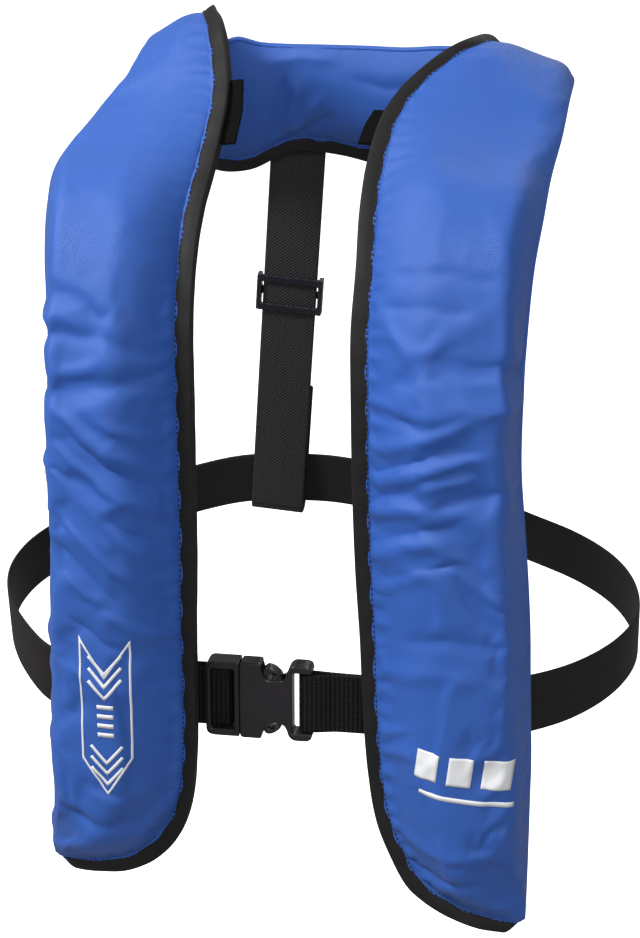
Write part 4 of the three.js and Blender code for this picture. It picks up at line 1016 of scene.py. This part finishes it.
belt = band("belt_round", BELT_RING, BELT_WIDTH, WEBBING, belt_cloth, leans, step=4.0)
front_run = band("belt_front_run", [(x, y, BELT_Z) for x, y in FRONT_LOOP], BELT_WIDTH, WEBBING,
                 ribbed_webbing, step=1.6, ribs=RIB_HEIGHT)
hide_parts("waist_belt")
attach(belt, "jacket")
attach(front_run, "jacket")
ADJUSTER = [(-90, -2.1), (-70, -2.1), (-50, -2.1), (-43, -2.1), (-39.2, -1.8), (-37.2, -0.6), (-36.4, 1.2),
            (-36.5, 2.9), (-37.6, 4.6), (-40, 5.4), (-46, 5.6), (-60, 5.6)]
adjuster = band("belt_adjuster_end_webbing", [(x, y, BELT_Z) for x, y in ADJUSTER], BELT_WIDTH, WEBBING,
                ribbed_webbing, step=1.6, ribs=RIB_HEIGHT)
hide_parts("belt_adjuster_end")
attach(adjuster, "male_buckle")

# %% [markdown]
# ## The back strap
# The strap is sewn behind the neck, hangs to the belt, loops round it and comes back up to its slider.

# %% Strap runs
STRAP_TOP, STRAP_FOOT = np.array([-29, 204.5, 184.0]), np.array([-49, 228, -76.0])
strap_up = unit(STRAP_TOP - STRAP_FOOT)
strap_back = unit(np.cross(strap_up, [1.0, 0, 0]))
strap_across = np.cross(strap_back, strap_up)
STRAP_WIDTH, BELT_ROOM, SLIDER_DOWN, STRAP_SEWN = 36.0, 12.0, 100.0, 18.0
strap_length = np.linalg.norm(STRAP_TOP - STRAP_FOOT)


def strap_run(name, points, width, body, node, step=2.0):
    line, _ = resample(np.array(points, float), step)
    centre = STRAP_TOP + strap_back * line[:, :1] + strap_up * line[:, 1:2]
    along = unit(np.gradient(centre, axis=0))
    high = np.repeat(strap_across[None], len(centre), axis=0)
    thick = unit(np.cross(along, high))
    piece = band_mesh(name, centre, high, thick, width, WEBBING, strap_webbing, RIB_HEIGHT)
    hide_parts(node)
    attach(piece, body)


# %% Round the belt and back to the slider
turn = BELT_ROOM + WEBBING
bottom = -strap_length
corner = [(0, 12), (0.1, 5), (1.0, 1.6), (3.4, 0.2)]  # in from the run and up from the bottom
down_and_round = [(inward, bottom + up) for inward, up in corner] + [(turn / 2, bottom)]
up_again = [(turn - inward, bottom + up) for inward, up in corner[::-1]]
strap_run("back_strap_webbing",
          [(0, STRAP_SEWN), (0, -60), (0, -160), *down_and_round, *up_again,
           (turn, -SLIDER_DOWN - 110), (turn, -SLIDER_DOWN - 70)],
          STRAP_WIDTH, "jacket", "back_strap")
rear_run = WEBBING + 0.6 + 2.3
strap_run("strap_loose_end", [(rear_run, -SLIDER_DOWN + 6), (rear_run, -SLIDER_DOWN - 40),
                              (rear_run, -SLIDER_DOWN - 90)], STRAP_WIDTH - 2, "strap_adjuster", "strap_end")

# %% [markdown]
# ## Moulded pieces
# Injection-moulded nylon has no sharp corners. The frame's pieces give exact sizes, so each one is copied,
# remeshed finely and relaxed, which rounds every edge by up to about a millimetre. Small metal pieces are
# only bevelled, because a turned edge stays crisp.

# %% Rounding helpers
def copy_of(node, name, material):
    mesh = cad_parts[node].data.copy()
    mesh.materials.clear()
    piece = placed(name, mesh, material)
    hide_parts(node)
    return piece


def moulded(node, name, material, body, voxel=0.8, relax=6, shape=None):
    piece = copy_of(node, name, material)
    voxels = piece.modifiers.new("voxels", "REMESH")
    voxels.mode = "VOXEL"
    voxels.voxel_size = voxel / 1000
    soften = piece.modifiers.new("soften", "SMOOTH")
    soften.factor = 0.5
    soften.iterations = relax
    settle(piece)
    if shape:
        for vertex in piece.data.vertices:
            vertex.co = shape(vertex.co)
    piece.data.materials.clear()
    piece.data.materials.append(material)
    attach(piece, body)
    print(name, len(piece.data.vertices), "points")


def crisp(node, name, material, body, bevel=0.4):
    piece = copy_of(node, name, material)
    work = bmesh.new()
    work.from_mesh(piece.data)
    bmesh.ops.remove_doubles(work, verts=work.verts, dist=1e-6)
    bmesh.ops.dissolve_limit(work, angle_limit=math.radians(2), verts=work.verts, edges=work.edges)
    work.to_mesh(piece.data)
    work.free()
    round_edges = piece.modifiers.new("edges", "BEVEL")
    round_edges.width = bevel / 1000
    round_edges.segments = 2
    round_edges.limit_method = "ANGLE"
    round_edges.angle_limit = math.radians(35)
    settle(piece)
    piece.data.set_sharp_from_angle(angle=math.radians(40))
    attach(piece, body)


# %% The buckle
FACE_Y, DOME, SCOOP = -3, 0.9, 1.3


def female_shape(co):
    """The face is domed, with a shallow scoop beside each finger grip."""
    x = co.x * 1000 + ORIGIN[0]
    z = co.z * 1000 + ORIGIN[2] - BELT_Z
    y = co.y * 1000 + ORIGIN[1]
    if y < FACE_Y:
        dome = DOME * (z / 25) ** 2
        scoop = SCOOP * math.exp(-((x + 9) / 7) ** 2 - ((abs(z) - 15) / 5) ** 2)
        y += dome + scoop * 0.6
    return Vector((co.x, (y - ORIGIN[1]) / 1000, co.z))


moulded("buckle_female", "buckle_socket_half", black_nylon, "jacket", 0.7, 5, female_shape)
moulded("buckle_male", "buckle_plug_half", black_nylon, "male_buckle", 0.6, 4)
moulded("prong_upper", "buckle_prong_upper", black_nylon, "upper_prong", 0.5, 3)
moulded("prong_lower", "buckle_prong_lower", black_nylon, "lower_prong", 0.5, 3)
moulded("strap_slider", "strap_slider_frame", black_nylon, "strap_adjuster", 0.5, 4)
crisp("belt_keeper_left", "keeper_loop_left", ribbed_webbing, "jacket", 0.6)
crisp("belt_keeper_right", "keeper_loop_right", ribbed_webbing, "jacket", 0.6)

# %% Hook tabs
def reaching(fixed, stretch):
    """A tab drawn out from its free end, at x = fixed in metres, to under the edge tape it is sewn to."""
    def drawn_out(co):
        return Vector((fixed + (co.x - fixed) * stretch, co.y, co.z))
    return drawn_out


left_reach, right_reach = reaching(-0.0498, 1.35), reaching(0.0195, 1.25)
moulded("closure_tab_left", "hook_tab_left", hook_tape, "jacket", 0.6, 2, left_reach)
moulded("closure_tab_right", "hook_tab_right", hook_tape, "jacket", 0.6, 2, right_reach)

# %% [markdown]
# ## Under the flap
# The inflator, its gas cylinder, the pull, the oral tube and the bladder only show with the flap open, but
# each is finished as carefully: zinc steel, moulded nylon, rubber and coated cloth.

# %% Inflator, tube and whistle
moulded("inflator_body", "inflator_casting", dark_plastic, "jacket", 0.8, 3)
crisp("gas_cylinder", "gas_bottle", zinc_steel, "cylinder", 0.5)
crisp("cylinder_seal", "bottle_seal_ring", black_rubber, "cylinder", 0.1)
crisp("piercing_pin", "piercing_needle", bright_steel, "pin", 0.15)
crisp("pin_spring", "return_spring", bright_steel, "jacket", 0.05)
moulded("firing_lever", "firing_lever_arm", red_plastic, "lever", 0.5, 3)
crisp("lever_pin", "lever_pivot_pin", bright_steel, "jacket", 0.2)
moulded("bobbin_cap", "cartridge_cap", yellow_cap, "cap", 0.6, 3)
crisp("bobbin", "water_bobbin", pressed_white, "jacket", 0.4)
crisp("clamp_nut", "manifold_nut", brass, "jacket", 0.4)
moulded("pull_toggle", "pull_handle_grip", red_plastic, "pull_handle", 0.5, 4)
moulded("pull_lanyard", "pull_cord", red_plastic, "pull_handle", 0.4, 3)
moulded("oral_tube", "oral_tube_hose", black_rubber, "jacket", 0.7, 3)
crisp("oral_valve", "oral_valve_body", dark_plastic, "jacket", 0.4)
crisp("valve_poppet", "oral_valve_poppet", red_plastic, "poppet", 0.3)
crisp("oral_cap", "oral_tube_cap", dark_plastic, "tube_cap", 0.6)
moulded("whistle", "safety_whistle", orange_plastic, "jacket", 0.6, 3)

# %% The bladder
def eased(co):
    """At the left shoulder the bladder lies a little inside the cover's corner."""
    share = min(max((co.z + 0.06) / 0.03, 0), 1) * min(max((-co.x - 0.075) / 0.03, 0), 1)
    return Vector((co.x + 0.006 * share, co.y, co.z - 0.005 * share))


moulded("bladder", "folded_bladder", orange_cloth, "jacket", 2.2, 8, eased)

# %% [markdown]
# ## Floor, light and camera
# A pale floor lies below the jacket. One large lamp up on the left gives the cloth its broad highlights, a
# weaker one in front keeps the shadows open, a third one lights the back, and a pale world the rest.

# %% Floor
bpy.ops.mesh.primitive_plane_add(size=300, location=(0, 0, frame_box[0].z - 0.25))
floor = bpy.context.object
floor.name = "floor"
floor_paint = bpy.data.materials.new("pale_floor")
floor_paint.use_nodes = True
paint = floor_paint.node_tree.nodes["Principled BSDF"].inputs
paint["Base Color"].default_value = (0.93, 0.93, 0.93, 1)
paint["Roughness"].default_value = 0.9
paint["Emission Color"].default_value = (1, 1, 1, 1)
paint["Emission Strength"].default_value = 1.0
floor.data.materials.append(floor_paint)
floor.visible_diffuse = False
floor.visible_glossy = False
floor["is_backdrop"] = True

# %% Lamps
def lamp(name, place, aim, size, power):
    data = bpy.data.lights.new(name, "AREA")
    data.size = size
    data.energy = power
    made = bpy.data.objects.new(name, data)
    made.location = place
    made.rotation_euler = (Vector(aim) - Vector(place)).to_track_quat("-Z", "Y").to_euler()
    bpy.context.scene.collection.objects.link(made)


MIDDLE = (-0.01, -0.05, -0.26)
lamp("key", (-1.5, -1.0, 1.5), MIDDLE, 0.6, 60)
lamp("fill", (0.5, -2.2, 0.9), MIDDLE, 1.0, 21)
lamp("back", (0.4, 1.8, 1.5), MIDDLE, 1.2, 12)
world = bpy.data.worlds.new("studio")
bpy.context.scene.world = world
world.use_nodes = True
world.node_tree.nodes["Background"].inputs["Color"].default_value = (1, 1, 1, 1)
world.node_tree.nodes["Background"].inputs["Strength"].default_value = 0.3
bpy.context.scene.view_settings.view_transform = "Standard"

# %% Camera
camera_data = bpy.data.cameras.new("camera")
camera_data.lens = 91
camera_data.sensor_width = 36
camera = bpy.data.objects.new("camera", camera_data)
target = Vector((-0.012, -0.015, -0.262))
azimuth, elevation, distance = math.radians(9), math.radians(20), 1.5
camera.location = target + distance * Vector((math.sin(azimuth) * math.cos(elevation),
                                              -math.cos(azimuth) * math.cos(elevation), math.sin(elevation)))
camera.rotation_euler = (target - camera.location).to_track_quat("-Z", "Y").to_euler()
bpy.context.scene.collection.objects.link(camera)
bpy.context.scene.camera = camera

visual_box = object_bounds()
changes = [round(abs(visual_box[i][k] - frame_box[i][k]) * 1000, 1) for i in (0, 1) for k in range(3)]
print("differs from the frame by mm", changes)
